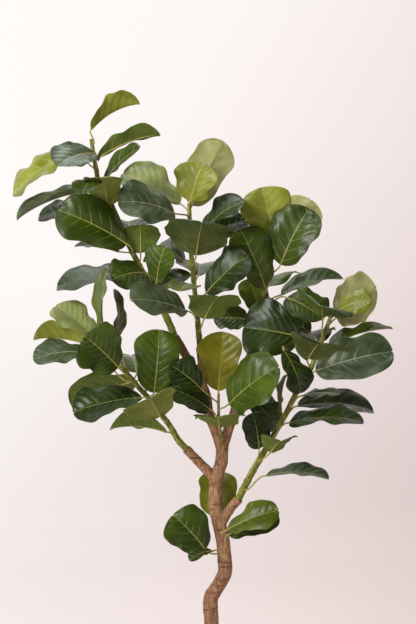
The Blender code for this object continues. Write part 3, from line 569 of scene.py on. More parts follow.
# %% Table of leaves
GROWTH = [("stem_left", {  # crown of the left stem
    "l01": (166.5, (-31.7, -3, 170.6), (-19.5, -1, 177.8), 9, (-0.5, 0.25, 0.85), 1.3),
    "l02": (160.0, (-39.8, 3, 163.8), (-54.4, 6, 153.6), 14, (-0.3, -0.55, 0.8), 1.0),
    "l03": (163.0, (-31.6, -7, 163.4), (-40.3, -16, 160.0), 11, (-0.1, -0.75, 0.65), 1.0),
    "l04": (158.5, (-29.8, -4, 162.8), (-13.9, -6, 169.3), 7.5, (-0.2, 0.4, 0.9), 1.0),
    "l05": (155.0, (-28.2, -8, 156.6), (-18.8, -15, 164.4), 6.5, (-0.5, -0.6, 0.5), 0.8),
    "l06": (153.5, (-33.5, -1, 153.8), (-52.5, -3, 146.6), 10, (-0.15, -0.25, 0.95), 1.2),
    "l07": (156.5, (-31.0, -9, 156.2), (-33.5, -20, 152.5), 7, (0, -0.4, 0.9), 1.0),
    "l08": (146.5, (-27.5, -7, 150.2), (-29.0, -18, 156.5), 9, (0, 0.5, 0.85), 0.8),
    "l09": (149.0, (-34.2, 5, 148.4), (-47.4, 8, 147.6), 8.5, (-0.2, -0.5, 0.85), 0.8),
    "l10": (136.5, (-23.4, -8, 139.8), (-40.3, -12, 148.4), 13, (0.2, -0.9, 0.3), 1.5),
    "l11": (134.5, (-19.0, -4, 137.5), (-19.0, -7, 144.6), 9, (0, 0.7, 0.5), 0.5),
    "l12": (127.0, (-14.6, -5, 129.6), (-12.4, -7, 138.8), 9, (-0.5, -0.8, 0.2), 0.6),
    "l13": (128.5, (-18.2, -3.5, 131.8), (-26.2, -9, 130.2), 9.5, (0.1, -0.8, 0.6), 0.8),
    "l14": (129.5, (-21.2, 3, 129.8), (-42.3, 5, 129.0), 13.5, (0, -0.35, 0.95), 1.0),
    "l15": (137.5, (-25.5, -1, 137.6), (-37.0, -1, 139.0), 9, (0, -0.25, 1), 0.6),
    "l16": (141.0, (-22.0, 5, 142.5), (-24.0, 20, 147.0), 11, (0, -0.3, 0.9), 1.4),
}), ("stem_centre", {  # centre stem
    "c01": (147.0, (-10.4, -8, 147.6), (-24.2, -15, 150.6), 13, (0.1, -0.75, 0.65), 1.2),
    "c02": (148.5, (-9.3, 2, 151.0), (-24.2, 4, 159.0), 12.5, (0.2, -0.6, 0.75), 1.2),
    "c03": (149.8, (-5.6, -4, 151.4), (-2.4, -5, 161.0), 11, (-0.3, -0.9, 0.2), 0.6),
    "c04": (148.0, (-4.9, 2, 151.0), (3.0, 5, 167.6), 11, (-0.1, 0.9, 0.3), 0.8),
    "c05": (142.0, (-2.0, -3, 143.2), (8.7, -5, 151.0), 10, (-0.4, -0.5, 0.75), 1.0),
    "c06": (134.0, (-4.0, -8, 136.8), (-2.5, -19, 144.8), 16, (0, 0.55, 0.8), 0.8),
    "c07": (126.5, (-6.4, 6, 131.2), (-20.0, 9, 124.2), 12, (0.1, -0.5, 0.85), 1.0),
    "c08": (119.0, (-7.6, -11, 121.8), (-20.9, -18.5, 124.8), 12.5, (0.1, -0.7, 0.7), 1.0),
    "c09": (116.0, (-1.6, -8, 120.0), (1.8, -18, 125.4), 12.5, (0, 0.5, 0.85), 0.8),
    "c10": (124.5, (-0.9, -6, 126.8), (9.4, -10, 136.4), 11, (-0.4, -0.8, 0.4), 0.8),
    "c11": (141.0, (1.0, 3, 143.0), (9.5, 7, 146.6), 9.5, (0.1, -0.8, 0.55), 0.6),
    "c12": (132.5, (-8.0, 4, 135.0), (-17.6, 8, 135.4), 11, (0, -0.4, 0.9), 3.6),
    "c13": (126.5, (-6.0, -7, 128.6), (-8.4, -15, 127.0), 8, (0, -0.6, 0.75), 0.5),
    "c15": (129.0, (-3.5, 6, 131.5), (-2.8, 21, 134.8), 14, (0, -0.2, 0.95), 1.4),
}), ("stem_right", {  # upper right stem
    "r01": (138.0, (17.0, 3, 141.2), (13.6, 1, 155.0), 12.5, (0.1, -0.9, 0.2), 0.8),
    "r02": (136.5, (19.0, 8, 140.5), (27.4, 12, 152.3), 11, (0.2, 0.9, 0.3), 0.8),
    "r03": (131.5, (19.0, 0, 134.8), (26.0, -2, 149.3), 12.5, (-0.3, -0.9, 0.3), 1.0),
    "r04": (126.0, (14.2, -1, 128.6), (7.7, -3, 143.6), 12, (0.3, -0.9, 0.3), 0.8),
    "r05": (124.0, (20.0, 8, 126.2), (36.3, 11, 130.6), 10, (-0.1, -0.4, 0.9), 1.4),
    "r06": (119.0, (20.6, -4, 124.8), (29.6, -8, 119.6), 11, (0.1, -0.75, 0.65), 0.8),
}), ("branch_right", {
    "r07": (104.0, (19.2, -14, 110.6), (23.6, -16, 100.2), 9.5, (0.6, -0.7, 0.3), 0.8),
}), ("stem_right", {
    "r21": (117.0, (9.4, 0, 119.2), (0.5, -1, 119.6), 10, (0, -0.75, 0.65), 0.6),
    "r27": (118.0, (13.2, 7, 121.0), (10.2, 9, 130.5), 8, (0.3, -0.9, 0.3), 0.6),
    "r22": (128.5, (16.0, 12, 128.6), (18.2, 26, 131.6), 14, (0, -0.2, 0.95), 1.4),
}), ("branch_right", {  # right branch
    "r08": (114.5, (29.2, -12, 120.5), (27.5, -22, 123.2), 14, (0.45, 0.25, 0.85), 0.8),
    "r09": (111.0, (22.8, -8, 114.8), (8.4, -7, 117.2), 15, (0.1, -0.95, 0.25), 1.2),
    "r10": (106.0, (25.6, -14, 109.4), (28.4, -25, 114.0), 14, (0.25, 0.35, 0.9), 0.8),
    "r11": (101.5, (28.6, -9, 105.8), (48.0, -10, 110.9), 12, (0, -0.85, 0.5), 1.4),
    "r12": (109.0, (32.4, -3, 112.6), (48.6, -1, 117.0), 10, (-0.2, -0.2, 0.95), 1.0),
    "r13": (119.5, (34.0, -9, 121.8), (41.7, -13, 124.6), 8, (-0.4, -0.7, 0.6), 0.8),
    "r14": (118.0, (34.2, -2, 120.2), (44.6, 2, 127.6), 14, (-0.3, 0.85, 0.4), 0.8),
    "r15": (93.5, (24.2, -1, 95.8), (43.9, 2, 94.4), 13, (0, -0.35, 0.93), 1.6),
    "r16": (88.0, (21.4, -10, 92.0), (39.8, -14, 93.2), 10, (0, -0.4, 0.9), 1.2),
    "r17": (73.8, (15.4, -6, 77.6), (31.2, -8, 77.6), 7.5, (0, -0.35, 0.93), 1.2),
    "r18": (81.5, (15.8, -10, 84.3), (18.2, -17, 87.6), 9, (0, 0.4, 0.9), 0.6),
    "r19": (76.5, (12.6, -6, 85.2), (11.0, -8, 94.4), 8, (0.3, -0.85, 0.3), 0.5),
}), ("upper_trunk", {
    "r20": (99.0, (9.6, 6, 98.5), (18.2, 8, 89.8), 9, (0.3, -0.75, 0.5), 0.8),
}), ("branch_right", {
    "r23": (112.5, (26.0, -2, 115.8), (19.0, 0, 120.0), 9, (0.3, -0.6, 0.7), 0.6),
    "r24": (96.5, (24.4, -8, 99.0), (34.0, -10, 99.8), 7, (0, -0.2, 1), 0.6),
    "r25": (88.5, (19.0, 2, 93.5), (19.9, 4, 104.2), 8, (-1, 0.25, 0), 0.5),
    "r26": (110.2, (26.6, 2, 112.6), (28.6, 17, 116.0), 12, (0, -0.2, 0.95), 1.4),
}), ("twig_centre", {  # twig in the fork
    "t01": (95.0, (5.2, -11, 97.4), (17.4, -18, 107.0), 14, (-0.4, -0.8, 0.45), 1.2),
    "t02": (98.4, (1.9, -5, 101.0), (2.8, -7, 115.9), 10.5, (0, -0.95, 0.2), 0.8),
    "t03": (93.0, (-1.0, -6, 95.6), (-11.7, -9, 101.4), 10, (-0.3, -0.6, 0.7), 0.8),
    "t04": (89.0, (2.0, -8, 90.8), (1.5, -17, 93.8), 12, (0, 0.4, 0.9), 0.8),
    "t05": (97.0, (-3.2, -9, 101.2), (-10.2, -11, 107.0), 9, (-0.2, -0.7, 0.6), 0.6),
}), ("branch_left", {  # left branch
    "b01": (98.5, (-15.3, -8, 100.6), (-13.8, -8, 116.6), 11, (0.2, -0.9, 0.2), 1.0),
    "b02": (105.0, (-32.3, 0, 115.0), (-42.5, 3, 122.9), 10, (0.3, -0.7, 0.6), 0.8),
    "b03": (104.0, (-33.5, -4, 112.6), (-47.6, -5, 114.4), 9, (-0.1, 0.35, 0.9), 0.8),
    "b04": (103.0, (-33.6, -9, 110.5), (-47.0, -12, 109.4), 9.5, (0, -0.55, 0.8), 0.8),
    "b05": (106.3, (-24.8, -17, 107.2), (-32.8, -21, 115.0), 13, (0.2, -0.9, 0.3), 0.8),
    "b06": (106.8, (-28.2, -13, 114.4), (-28.0, -14, 132.8), 10, (-1, -0.35, 0), 0.8),
    "b07": (105.7, (-25.2, -6, 115.0), (-25.0, -6, 127.4), 8, (1, -0.3, 0), 0.6),
    "b08": (98.5, (-21.4, 2.5, 102.2), (-38.3, 4, 96.2), 12.5, (-0.2, 0.75, 0.6), 1.0),
    "b09": (96.0, (-19.2, -12, 98.5), (-36.4, -14, 94.9), 11.5, (0, -0.6, 0.8), 1.0),
    "b10": (92.0, (-13.6, -14, 94.0), (-16.2, -24, 99.6), 13, (-0.45, 0.35, 0.8), 0.8),
    "b11": (86.5, (-12.6, -9, 89.5), (-26.8, -12, 90.9), 8.5, (0, 0.4, 0.9), 1.0),
    "b13": (102.5, (-20.5, 4, 105.0), (-22.5, 18, 109.0), 10, (0, -0.2, 0.95), 1.4),
}), ("lower_trunk", {  # low shoots on the trunk
    "k01": (56.0, (-2.0, -6, 58.2), (-10.2, -7, 67.3), 12, (0.3, -0.9, 0.3), 1.0),
    "k02": (54.5, (0.2, -10.5, 58.0), (-5.7, -14.5, 56.4), 4.5, (0, -0.3, 0.95), 0.6),
    "k03": (62.0, (0.8, 6, 65.9), (2.6, 8, 77.5), 9.5, (0, -0.95, 0.1), 0.8),
    "k04": (60.5, (4.8, -11, 64.0), (17.4, -14, 69.4), 8.5, (0, -0.7, 0.7), 0.8),
    "k05": (58.0, (5.2, -5, 62.0), (17.8, -6, 67.2), 9, (0, -0.7, 0.7), 0.8),
})]
LEAVES = {key: (stem, *row) for stem, rows in GROWTH for key, row in rows.items()}
# leaves that are one piece with their stem in the solid model
GROWN_ON = set("l07 l08 l09 l12 l13 r08 r13 r18 r19 b03 b07 t04 k02 k03 l15 "
               "l16 c11 c12 c13 c15 r21 r22 r23 r24 r25 r26 r27 t05 b13".split())

# how far the edges rise above the midrib, as a share of the half width
FOLD = 0.14
FOLDED = {"l01": 0.65, "l04": 0.45, "l05": 0.35, "l06": 0.35, "l14": 0.2, "r05": 0.3, "r12": 0.25,
          "r15": 0.25, "r16": 0.22, "r17": 0.25, "b03": 0.5, "b11": 0.4, "r18": 0.4, "k02": 0.3}
TONE_OF = {
    "light": "l01 l02 c03 r01 r13 b03 k03",
    # pale tone: pale olive leaves, and on c02 a painted sheen
    "pale": "c02 c04 r02 r14 b02",
    "yellow": "t02",
    "mid": "b06 r27 l08 b10 c13 t04 k04",
    "green": "t01 b01 c09 l12 l11 b07 r05 b08 b11 r18 l04 r12 r22 b13",
    # leaves whose blue-grey colour is a painted sheen
    "painted_sheen": "c01 l03 l06 b04 c12 c08 r11 l09 r17 r24",
    "dark": "k05 l10 r03 r04",
    # deep tone: the darkest leaves, mostly inside the crown, so partly painted shade
    "deep": "r07 r09 r20 r15 r16 t03 t05 c10 c11 r23 r25 l14 b09 r19 c05 r10 c06",
}
TONE = {key: tone for tone, keys in TONE_OF.items() for key in keys.split()}
print("leaves:", len(LEAVES))


# %% [markdown]
# ## Leaves: the blade as a surface of two parameters
# One parameter s runs from base to tip and the other, v, from edge to edge. The outline is a formula of s: a
# steep start for the heart-shaped base, a gentle widening past the waist, and a steep end for the blunt tip.
# The height above the midrib adds a fold, arched halves, puckers between the side veins and a wavy edge. A
# number of its own makes each leaf differ a little from the next.

# %% Blade shape
ROWS = 58
COLUMNS = 41
SIDE_VEINS = 6.6
# in metres: thickness, height of a pucker, rounding of the fold at the midrib
BLADE = 0.0007
PUCKER = 0.0008
FOLD_ROUND = 0.004
# as shares of the blade's width: waist, waves of the edge, broad dents, one edge curled up
WAIST = 0.375
EDGE_WAVE = 0.046
DENT = 0.024
CURL = 0.10
# as a share of the blade's length
TIP_DROOP = 0.03


def outline(s, waist):
    """Half width over width: (1 - (1 - s)^8)^0.6 (1 - s^7)^0.5 (w + (0.55 - w) smooth(0.15, 0.85, s))."""
    t = np.clip((s - 0.15) / 0.70, 0, 1)
    smooth = t * t * (3 - 2 * t)
    return (1 - (1 - s) ** 8) ** 0.6 * (1 - s ** 7) ** 0.5 * (waist + (0.55 - waist) * smooth)


def own(seed, rate):
    """A number from -1 to 1 that is each leaf's own."""
    return np.sin(seed * rate)


def spread(width, seed):
    """(s, v, half width, x): rows crowd towards base and tip, the edge wavers and one half is wider."""
    t = np.linspace(0.004, 0.9985, ROWS)
    s = (t - np.sin(2 * np.pi * t) * 0.55 / (2 * np.pi))[:, None]
    v = np.linspace(-1, 1, COLUMNS)[None, :]
    half = width * outline(s, WAIST + 0.045 * own(seed, 3.7))
    waver = 0.055 * np.sin(11 * s + 5 * seed + 2.1 * np.sign(v))
    half = half * (1 + waver + 0.02 * np.sin(23 * s + 9 * seed))
    lean = 1 + 0.05 * own(seed, 5.1) * np.sign(v) * np.sin(np.pi * s)
    return s, v, half, v * half * lean


def veins_passed(s, x, away, length, seed):
    """Count of side veins up to a spot: it grows with s and lags away from the midrib, so veins sweep on."""
    count = SIDE_VEINS + np.round(1.4 * own(seed, 2.9))
    return count * (s - np.abs(x) / length * (0.55 + 0.35 * away)) + 0.37 * seed


def rise(s, v, half, x, passed, width, length, bow, fold, seed):
    """Height over the midrib: fold - arched halves - puckers + dents + edge waves + bow - droop + curl."""
    away = np.abs(v)
    z = (fold + 0.22) * (np.sqrt(x ** 2 + FOLD_ROUND ** 2) - FOLD_ROUND)
    z = z - 0.20 * x ** 2 / np.maximum(half, FOLD_ROUND)
    swell = (PUCKER + 0.0003 * own(seed, 1.9)) * (0.65 + 0.35 * np.sin(5 * s + 2 * np.sign(v) + 4 * seed))
    z = z - swell * np.cos(2 * np.pi * passed) * np.clip(away * 4, 0, 1) * (1 - away ** 4)
    dents = np.sin(7.3 * s + 2.9 * v + 3 * seed) * np.sin(4.1 * s - 3.7 * v + 1.7 * seed)
    z = z + DENT * width * dents * np.sqrt(away)
    wave = np.sin(2 * np.pi * (1.7 * s + 0.17 * seed) + np.where(v > 0, 1.9, 0.0))
    wave = wave + 0.5 * np.sin(2 * np.pi * (3.4 * s + 0.31 * seed) + np.where(v > 0, 0.6, 2.4))
    z = z + EDGE_WAVE * width * away ** 3 * wave * np.sin(np.pi * np.clip(s * 1.05, 0, 1))
    z = z + bow * 4 * s * (1 - s) - (TIP_DROOP + TIP_DROOP * own(seed, 3.1)) * length * s ** 4
    side_share = np.where(v * own(seed, 8.9) > 0, 1.0, 0.15)
    return z + CURL * own(seed, 6.7) * width * np.clip(away - 0.35, 0, 1) ** 2 * side_share


def blade(base, reach, face, width, bow, fold, seed):
    """Closed skin: middle(s) + side x + normal z, upper and lower side BLADE apart, with its vein UV map."""
    length = np.linalg.norm(reach)
    ahead = reach / length
    normal = unit(face - ahead * (face @ ahead))
    side = np.cross(ahead, normal)
    s, v, half, x = spread(width, seed)
    away = np.abs(v)
    passed = veins_passed(s, x, away, length, seed)
    z = rise(s, v, half, x, passed, width, length, bow, fold, seed)
    notch = 0.012 * (1 + own(seed, 7.3)) * np.exp(-(v / 0.5) ** 2) * s ** 8
    twist = 0.22 * own(seed, 2.3) * (s - 0.35)
    sheet = (base + reach * (s - notch)[..., None]
             + side * (x * np.cos(twist))[..., None]
             + normal * (z + x * np.sin(twist))[..., None])
    lift = unit(np.cross(np.gradient(sheet, axis=1), np.gradient(sheet, axis=0)))
    thick = BLADE * (1 - 0.5 * away ** 6)[..., None] / 2
    top = (sheet + lift * thick).reshape(-1, 3)
    bottom = (sheet - lift * thick).reshape(-1, 3)
    count = ROWS * COLUMNS
    chart = np.stack(np.broadcast_arrays(passed, np.abs(x) * 10 / (1.3 - s)), axis=-1).reshape(-1, 2)
    upper_faces = grid_faces(ROWS, COLUMNS, False).tolist()
    lower_faces = outward(grid_faces(ROWS, COLUMNS, False, count).tolist())
    index = np.arange(count).reshape(ROWS, COLUMNS)
    rim = np.concatenate([index[0, :-1], index[:-1, -1], index[-1, :0:-1], index[:0:-1, 0]])
    after = np.roll(rim, -1)
    wall = np.stack([rim + count, after + count, after, rim], axis=-1).tolist()
    middle = sheet[:, COLUMNS // 2]
    points = np.vstack([top, bottom])
    return points, upper_faces, lower_faces + wall, np.vstack([chart, chart]), middle, normal


print("half width at a tenth, half and nine tenths:", np.round(outline(np.array([0.1, 0.5, 0.9]), WAIST), 3))


# %% [markdown]
# ## Leaves: the stalk
# The stalk leaves the stem square, bends over and runs into the midrib, which is the same tube going on under
# the blade and getting thinner. A Bezier line gives the bend. Where the stalk meets the stem it swells.

# %% Stalk and midrib
LINE_POINTS = 400
STALK_POINTS = 22
STALK_SIDES = 10
# share of its length by which a blade starts nearer the stem than its solid
BASE_REACH = 0.05


def station(key, height):
    """Point, direction and radius of a stem at a height in centimetres, read off its smooth line."""
    if key == "upper_trunk" and height > COURSES[key][-1][2]:
        key = "arm_right"
    line = smooth_line(course(key), LINE_POINTS)
    spot = int(np.argmin(np.abs(line[:, 2] - height * CM)))
    first, last = RADII[key]
    return line[spot], directions(line)[spot], first + (last - first) * spot / (LINE_POINTS - 1)


def stalk(key, height, base, reach, middle, normal):
    """Tube: Bezier start, start + 0.25 out + 0.1 up, base - 0.35 ahead, base; then along the midrib."""
    point, axis, radius = station(key, height)
    ahead = unit(reach)
    out = base - point
    out = unit(out - axis * (out @ axis))
    start = point + out * radius * 0.8
    shaft = np.linalg.norm(base - start)
    bend_1 = start + out * shaft * 0.25 + axis * shaft * 0.1
    bend_2 = base - ahead * shaft * 0.35
    t = np.linspace(0, 1, STALK_POINTS)[:, None]
    line = ((1 - t) ** 3 * start + 3 * (1 - t) ** 2 * t * bend_1 + 3 * (1 - t) * t ** 2 * bend_2
            + t ** 3 * middle[0])
    rib = middle[2:-6:2]
    share = np.linspace(0, 1, len(rib))
    thin = PETIOLE_RADIUS * (1 - 0.82 * share)
    rib = rib - normal * (thin * 0.62)[:, None]
    whole = np.vstack([line, rib])
    radii = np.concatenate([PETIOLE_RADIUS * (1 + 0.9 * np.exp(-(t[:, 0] / 0.05) ** 2)), thin])
    return tube(whole, radii, STALK_SIDES)


def leaf(key, number):
    """One leaf: blade with two finishes and its stalk."""
    stem, height, base, tip, width, face, bow = LEAVES[key]
    base = np.array(base, float) * CM
    reach = np.array(tip, float) * CM - base
    base, reach = base - BASE_REACH * reach, (1 + BASE_REACH) * reach
    points, upper_faces, lower_faces, chart, middle, normal = blade(
        base, reach, np.array(face, float), width * CM * LEAF_WIDTH_SCALE, bow * CM,
        FOLDED.get(key, FOLD), 1.0 + 0.618 * number)
    rod = stalk(stem, height, base, reach, middle, normal)
    node, finish = (stem, "stem") if key in GROWN_ON else ("leaf_" + key, "leaf")
    made = piece("leaf_" + key + "_blade", [(points, upper_faces + lower_faces, chart), (*rod, 2)],
                 [*LOOKS[TONE.get(key, "dark")], STALK], node)
    slots = np.zeros(len(made.data.polygons), int)
    slots[len(upper_faces):] = 1
    slots[len(upper_faces) + len(lower_faces):] = 2
    made.data.polygons.foreach_set("material_index", slots)
    return made


blades = [leaf(key, number) for number, key in enumerate(LEAVES)]
print("leaves made:", len(blades), "faces each:", len(blades[0].data.polygons))

# %% [markdown]
# ## Soil
# Potting soil is a crumbly skin: a disc whose height is a sum of waves of many sizes, finer and lower, with a
# scatter of small crumbs. It mounds a little towards the trunk and drops at the wall.


# %% Soil surface and crumbs
RECESS_RADIUS = 0.0200
FLOOR_RADIUS = 0.108
WALL_CLEARANCE = 0.0012
CRUMBS = 420
CRUMB_RADII = (0.026, 0.138)
CRUMB_SIZES = (0.0012, 0.0034)


def soil_finish():
    """Near-black compost with brown fibres and pale grit."""
    look, tree, shader = finish_of("soil", 0.95, 0.2)
    grain = noise(tree, 300.0, 6.0)
    grit = noise(tree, 520.0, 2.0)
    colour = blend(tree, ramp(tree, grain, 0.38, 0.66), (0.012, 0.008, 0.006), (0.085, 0.050, 0.030))
    colour = stain(tree, colour, ramp(tree, grit, 0.68, 0.72), 0.7, (0.42, 0.38, 0.32))
    paint(tree, shader, colour)
    relief(tree, shader, grain, 0.003, 1.0)
    return look


def soil_bed(inner, outer, outer_floor, rows, columns):
    """Ring-shaped bed: height = mound(r) + sum of waves; it narrows to its floor as the pot does."""
    share = np.linspace(0, 1, rows)[:, None]
    angle = np.linspace(0, 2 * np.pi, columns, endpoint=False)[None, :]
    r = inner + (outer - inner) * share
    x, y = r * np.cos(angle), r * np.sin(angle)
    z = SOIL_TOP + 0.004 * (1 - share) - 0.004 * share ** 6
    rng = np.random.default_rng(7)
    for size in (40, 75, 130, 210, 340):
        for turn in rng.uniform(0, 2 * np.pi, 5):
            z = z + 0.028 / size * np.sin(size * (x * np.cos(turn) + y * np.sin(turn)) + turn * 9)
    top = np.stack([x, y, z], axis=-1)
    narrow = inner + (outer_floor - inner) * share
    floor = np.stack([narrow * np.cos(angle), narrow * np.sin(angle), np.full_like(z, soil_low[2])], axis=-1)
    points = np.concatenate([top, floor[::-1]], axis=0).reshape(-1, 3)
    faces = grid_faces(2 * rows, columns, True)
    first = np.arange(columns)
    last = first + (2 * rows - 1) * columns
    seam = np.stack([last, np.roll(last, -1), np.roll(first, -1), first], axis=-1)
    return points, np.vstack([faces, seam])[:, ::-1].tolist(), np.zeros((len(points), 2))


SOIL = soil_finish()
bed_shell = soil_bed(RECESS_RADIUS, soil_high[0] - WALL_CLEARANCE, FLOOR_RADIUS, 90, 160)
bed = piece("soil_bed", [bed_shell], [SOIL], "soil")
rng = np.random.default_rng(11)
crumb_shells = []
for _ in range(CRUMBS):
    place_r = np.sqrt(rng.uniform(*np.square(CRUMB_RADII)))
    turn = rng.uniform(0, 2 * np.pi)
    size = rng.uniform(*CRUMB_SIZES)
    a = np.linspace(0, 2 * np.pi, 6, endpoint=False)
    heights = np.array([-0.8, 0.1, 0.85])
    widths = np.array([0.6, 1.0, 0.5]) * rng.uniform(0.8, 1.2, 3)
    ring = np.stack([np.cos(a), np.sin(a)], axis=-1) * rng.uniform(0.8, 1.2, (6, 1))
    flat = widths[:, None, None] * ring[None] * size
    tall = np.broadcast_to((heights * size * 0.8)[:, None, None], (3, 6, 1))
    centre = np.array([place_r * np.cos(turn), place_r * np.sin(turn), SOIL_TOP + 0.0025])
    points = (np.concatenate([flat, tall], axis=-1) + centre).reshape(-1, 3)
    faces = grid_faces(3, 6, True).tolist() + [[5, 4, 3, 2, 1, 0], [12, 13, 14, 15, 16, 17]]
    crumb_shells.append((points, faces, np.zeros((18, 2))))
crumbs = piece("soil_crumbs", crumb_shells, [SOIL], "soil")
print("soil faces:", len(bed.data.polygons), "crumbs:", len(crumb_shells))

# %% [markdown]
# ## Pot
# The pot is turned: a profile of radius and height spun round the axis. Round stretches of the profile are
# arcs, so the lip and the foot catch the light softly. Fine throwing rings and speckles keep it from looking
# moulded.


# %% Pot profile, spun, and its finish
def arc(centre, radius, start, end, count):
    """Points on an arc: centre + radius (cos a, sin a), a from start to end in degrees."""
    a = np.radians(np.linspace(start, end, count))
    return np.stack([centre[0] + radius * np.cos(a), centre[1] + radius * np.sin(a)], axis=-1)


def straight(a, b, count):
    """Points from a to b, both left out."""
    t = np.linspace(0, 1, count + 2)[1:-1, None]
    return np.array(a) * (1 - t) + np.array(b) * t


def pot_finish():
    """Matt off-white clay: soft clouding, brown specks, fine horizontal rings."""
    look, tree, shader = finish_of("pot_clay", 0.55, 0.4)
    cloud = noise(tree, 12.0, 5.0)
    speck = noise(tree, 330.0, 1.0)
    rings = noise(tree, 60.0, 3.0, (0.03, 0.03, 6.0))
    colour = blend(tree, ramp(tree, cloud, 0.3, 0.7), (0.66, 0.63, 0.58), (0.77, 0.75, 0.71))
    colour = stain(tree, colour, ramp(tree, speck, 0.70, 0.76), 0.7, (0.20, 0.14, 0.09))
    paint(tree, shader, colour)
    relief(tree, shader, rings, 0.0007, 0.5)
    return look


foot = 0.115
rim = 0.155
wall = 0.006
floor = 0.010
slope = (rim - foot) / POT_HEIGHT
band = POT_HEIGHT - 0.022
band_r = foot + slope * band
inner_top = rim - wall
inner_foot = foot + slope * floor - wall
profile = np.vstack([
    [[0.0002, 0.0]], straight((0.0, 0.0), (foot - 0.004, 0.0), 6),
    arc((foot - 0.004, 0.004), 0.004, -90, -8, 8),
    straight((foot, 0.005), (band_r, band), 40),
    arc((band_r + 0.0015, band + 0.0005), 0.0015, 180, 100, 4),
    arc((band_r + 0.003, band + 0.005), 0.003, -80, 0, 6),
    straight((band_r + 0.006, band + 0.006), (rim + 0.006, POT_HEIGHT - 0.006), 5),
    arc((rim + 0.0015, POT_HEIGHT - 0.0045), 0.0045, 0, 90, 10),
    arc((inner_top + 0.0035, POT_HEIGHT - 0.0035), 0.0035, 90, 180, 8),
    straight((inner_top, POT_HEIGHT - 0.005), (inner_foot, 0.012), 20),
    arc((inner_foot - 0.002, 0.012), 0.002, 0, -90, 4),
    [[0.0002, floor]],
])
SPIN = 128
angle = np.linspace(0, 2 * np.pi, SPIN, endpoint=False)
spun = np.stack([profile[:, :1] * np.cos(angle), profile[:, :1] * np.sin(angle),
                 np.broadcast_to(profile[:, 1:], (len(profile), SPIN))], axis=-1).reshape(-1, 3)
pot_faces = grid_faces(len(profile), SPIN, True).tolist()
pot_faces.append(list(range(SPIN))[::-1])
pot_faces.append(list(range((len(profile) - 1) * SPIN, len(profile) * SPIN)))
CLAY = pot_finish()
pot = piece("pot_body", [(spun, pot_faces, np.zeros((len(spun), 2)))], [CLAY], "pot")
print("pot points:", len(spun))

# %% [markdown]
# ## Floor and wall
# A pale sweep of paper runs from under the pot up behind the tree with no corner. The paper glows a little,
# paler at the upper left, which gives the wall an even fall of light that lamps alone would not.


# %% Paper sweep
BACK = 7.2
BEND = 1.5
WALL_TOP = 12.0
REACH = 30.0


def sweep():
    """Floor, quarter-round and wall as one profile in Y and Z, carried along X."""
    bend = arc((BACK - BEND, BEND), BEND, -90, 0, 32)
    line = np.vstack([[[-REACH, 0.0]], bend, [[BACK, WALL_TOP]]])
    x = np.linspace(-REACH, REACH, 3)
    points = np.stack(np.broadcast_arrays(x[None, :], line[:, :1], line[:, 1:]), axis=-1).reshape(-1, 3)
    mesh = bpy.data.meshes.new("paper_sweep")
    mesh.from_pydata(points.tolist(), [], grid_faces(len(line), 3, False).tolist())
    mesh.polygons.foreach_set("use_smooth", [True] * len(mesh.polygons))
    look, tree, shader = finish_of("paper", 0.9, 0.1)
    colour = blend(tree, ramp(tree, noise(tree, 0.6, 1.0), 0.3, 0.7), (0.30, 0.28, 0.27), (0.33, 0.31, 0.30))
    paint(tree, shader, colour)
    split = tree.nodes.new("ShaderNodeSeparateXYZ")
    tree.links.new(object_place(tree), split.inputs["Vector"])
    climb = math(tree, "ADD", split.outputs["Z"], times(tree, split.outputs["Y"], 0.25))
    drop = math(tree, "SUBTRACT", times(tree, split.outputs["X"], 0.305), times(tree, climb, 0.228))
    glow = blend(tree, ramp(tree, drop, -1.60, 0.66), (0.83, 0.815, 0.81), (0.52, 0.40, 0.39))
    tree.links.new(glow, shader.inputs["Emission Color"])
    shader.inputs["Emission Strength"].default_value = 1.0
    mesh.materials.append(look)
    made = bpy.data.objects.new("paper_sweep", mesh)
    bpy.context.scene.collection.objects.link(made)


sweep()
print("sweep ready")


# %% [markdown]
# ## Lights and sky
# Large lamps close to the plant make soft edges of light on the leaves. The front lamp is hidden from glossy
# reflections, so it lifts the shadows without a veil over the dark leaves. The sky is dim as a light and pale
# only where it is seen directly.

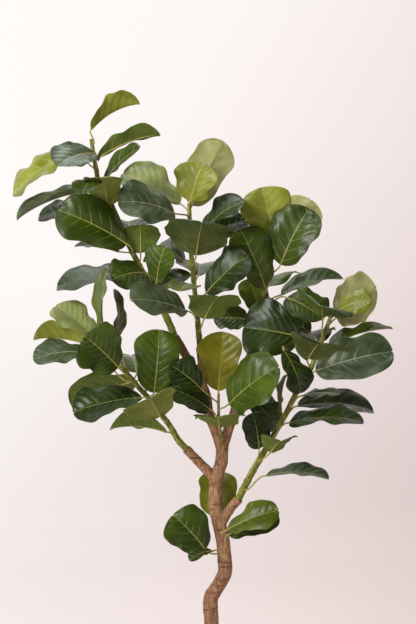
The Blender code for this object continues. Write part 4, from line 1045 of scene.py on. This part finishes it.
# %% Lights and sky
def light(name, place, target, size, power, colour, shines=True):
    """Square area light at a place, aimed at a target."""
    data = bpy.data.lights.new(name, "AREA")
    data.size = size
    data.energy = power
    data.color = colour
    made = bpy.data.objects.new(name, data)
    made.location = place
    aim = np.array(target, float) - np.array(place, float)
    flat = np.hypot(aim[0], aim[1])
    made.rotation_euler = (np.arctan2(flat, -aim[2]), 0, np.arctan2(-aim[0], aim[1]))
    made.visible_glossy = shines
    bpy.context.scene.collection.objects.link(made)


light("key", (-2.4, -3.0, 3.2), (0, 0, 1.3), 1.4, 190, (1.0, 0.985, 0.96))
light("top", (-0.8, 0.6, 4.6), (0, 0, 1.3), 2.0, 90, (0.95, 0.98, 1.0))
light("fill", (3.4, -2.6, 1.6), (0, 0, 1.2), 2.4, 16, (1.0, 0.98, 0.97))
light("front", (-0.6, -4.2, 0.7), (0, 0, 1.3), 1.8, 32, (1.0, 0.99, 0.96), False)
sky = bpy.data.worlds.new("sky")
sky.use_nodes = True
nodes, links = sky.node_tree.nodes, sky.node_tree.links
dim = nodes["Background"]
dim.inputs["Color"].default_value = (1.0, 0.985, 0.975, 1.0)
dim.inputs["Strength"].default_value = 0.07
pale = nodes.new("ShaderNodeBackground")
pale.inputs["Color"].default_value = (0.80, 0.77, 0.76, 1.0)
seen = nodes.new("ShaderNodeLightPath")
either = nodes.new("ShaderNodeMixShader")
links.new(seen.outputs["Is Camera Ray"], either.inputs[0])
links.new(dim.outputs["Background"], either.inputs[1])
links.new(pale.outputs["Background"], either.inputs[2])
links.new(either.outputs["Shader"], nodes["World Output"].inputs["Surface"])
bpy.context.scene.world = sky
bpy.context.scene.view_settings.view_transform = "Standard"

# %% [markdown]
# ## Camera
# The camera stands level, five metres off. The lens follows from similar triangles: sensor height over focal
# length is the height seen over the distance.

# %% Camera
DISTANCE = 5.0
VIEW_HEIGHT = 1.685
EYE_HEIGHT = 1.2126
ASIDE = -0.0095
SENSOR = 24.0
camera = bpy.data.cameras.new("camera")
camera.sensor_fit = "VERTICAL"
camera.sensor_height = SENSOR
camera.lens = SENSOR * DISTANCE / VIEW_HEIGHT
camera.clip_end = 60.0
eye = bpy.data.objects.new("camera", camera)
eye.location = (ASIDE, -DISTANCE, EYE_HEIGHT)
eye.rotation_euler = (np.pi / 2, 0, 0)
bpy.context.scene.collection.objects.link(eye)
bpy.context.scene.camera = eye
print("lens", round(camera.lens, 1), "mm")
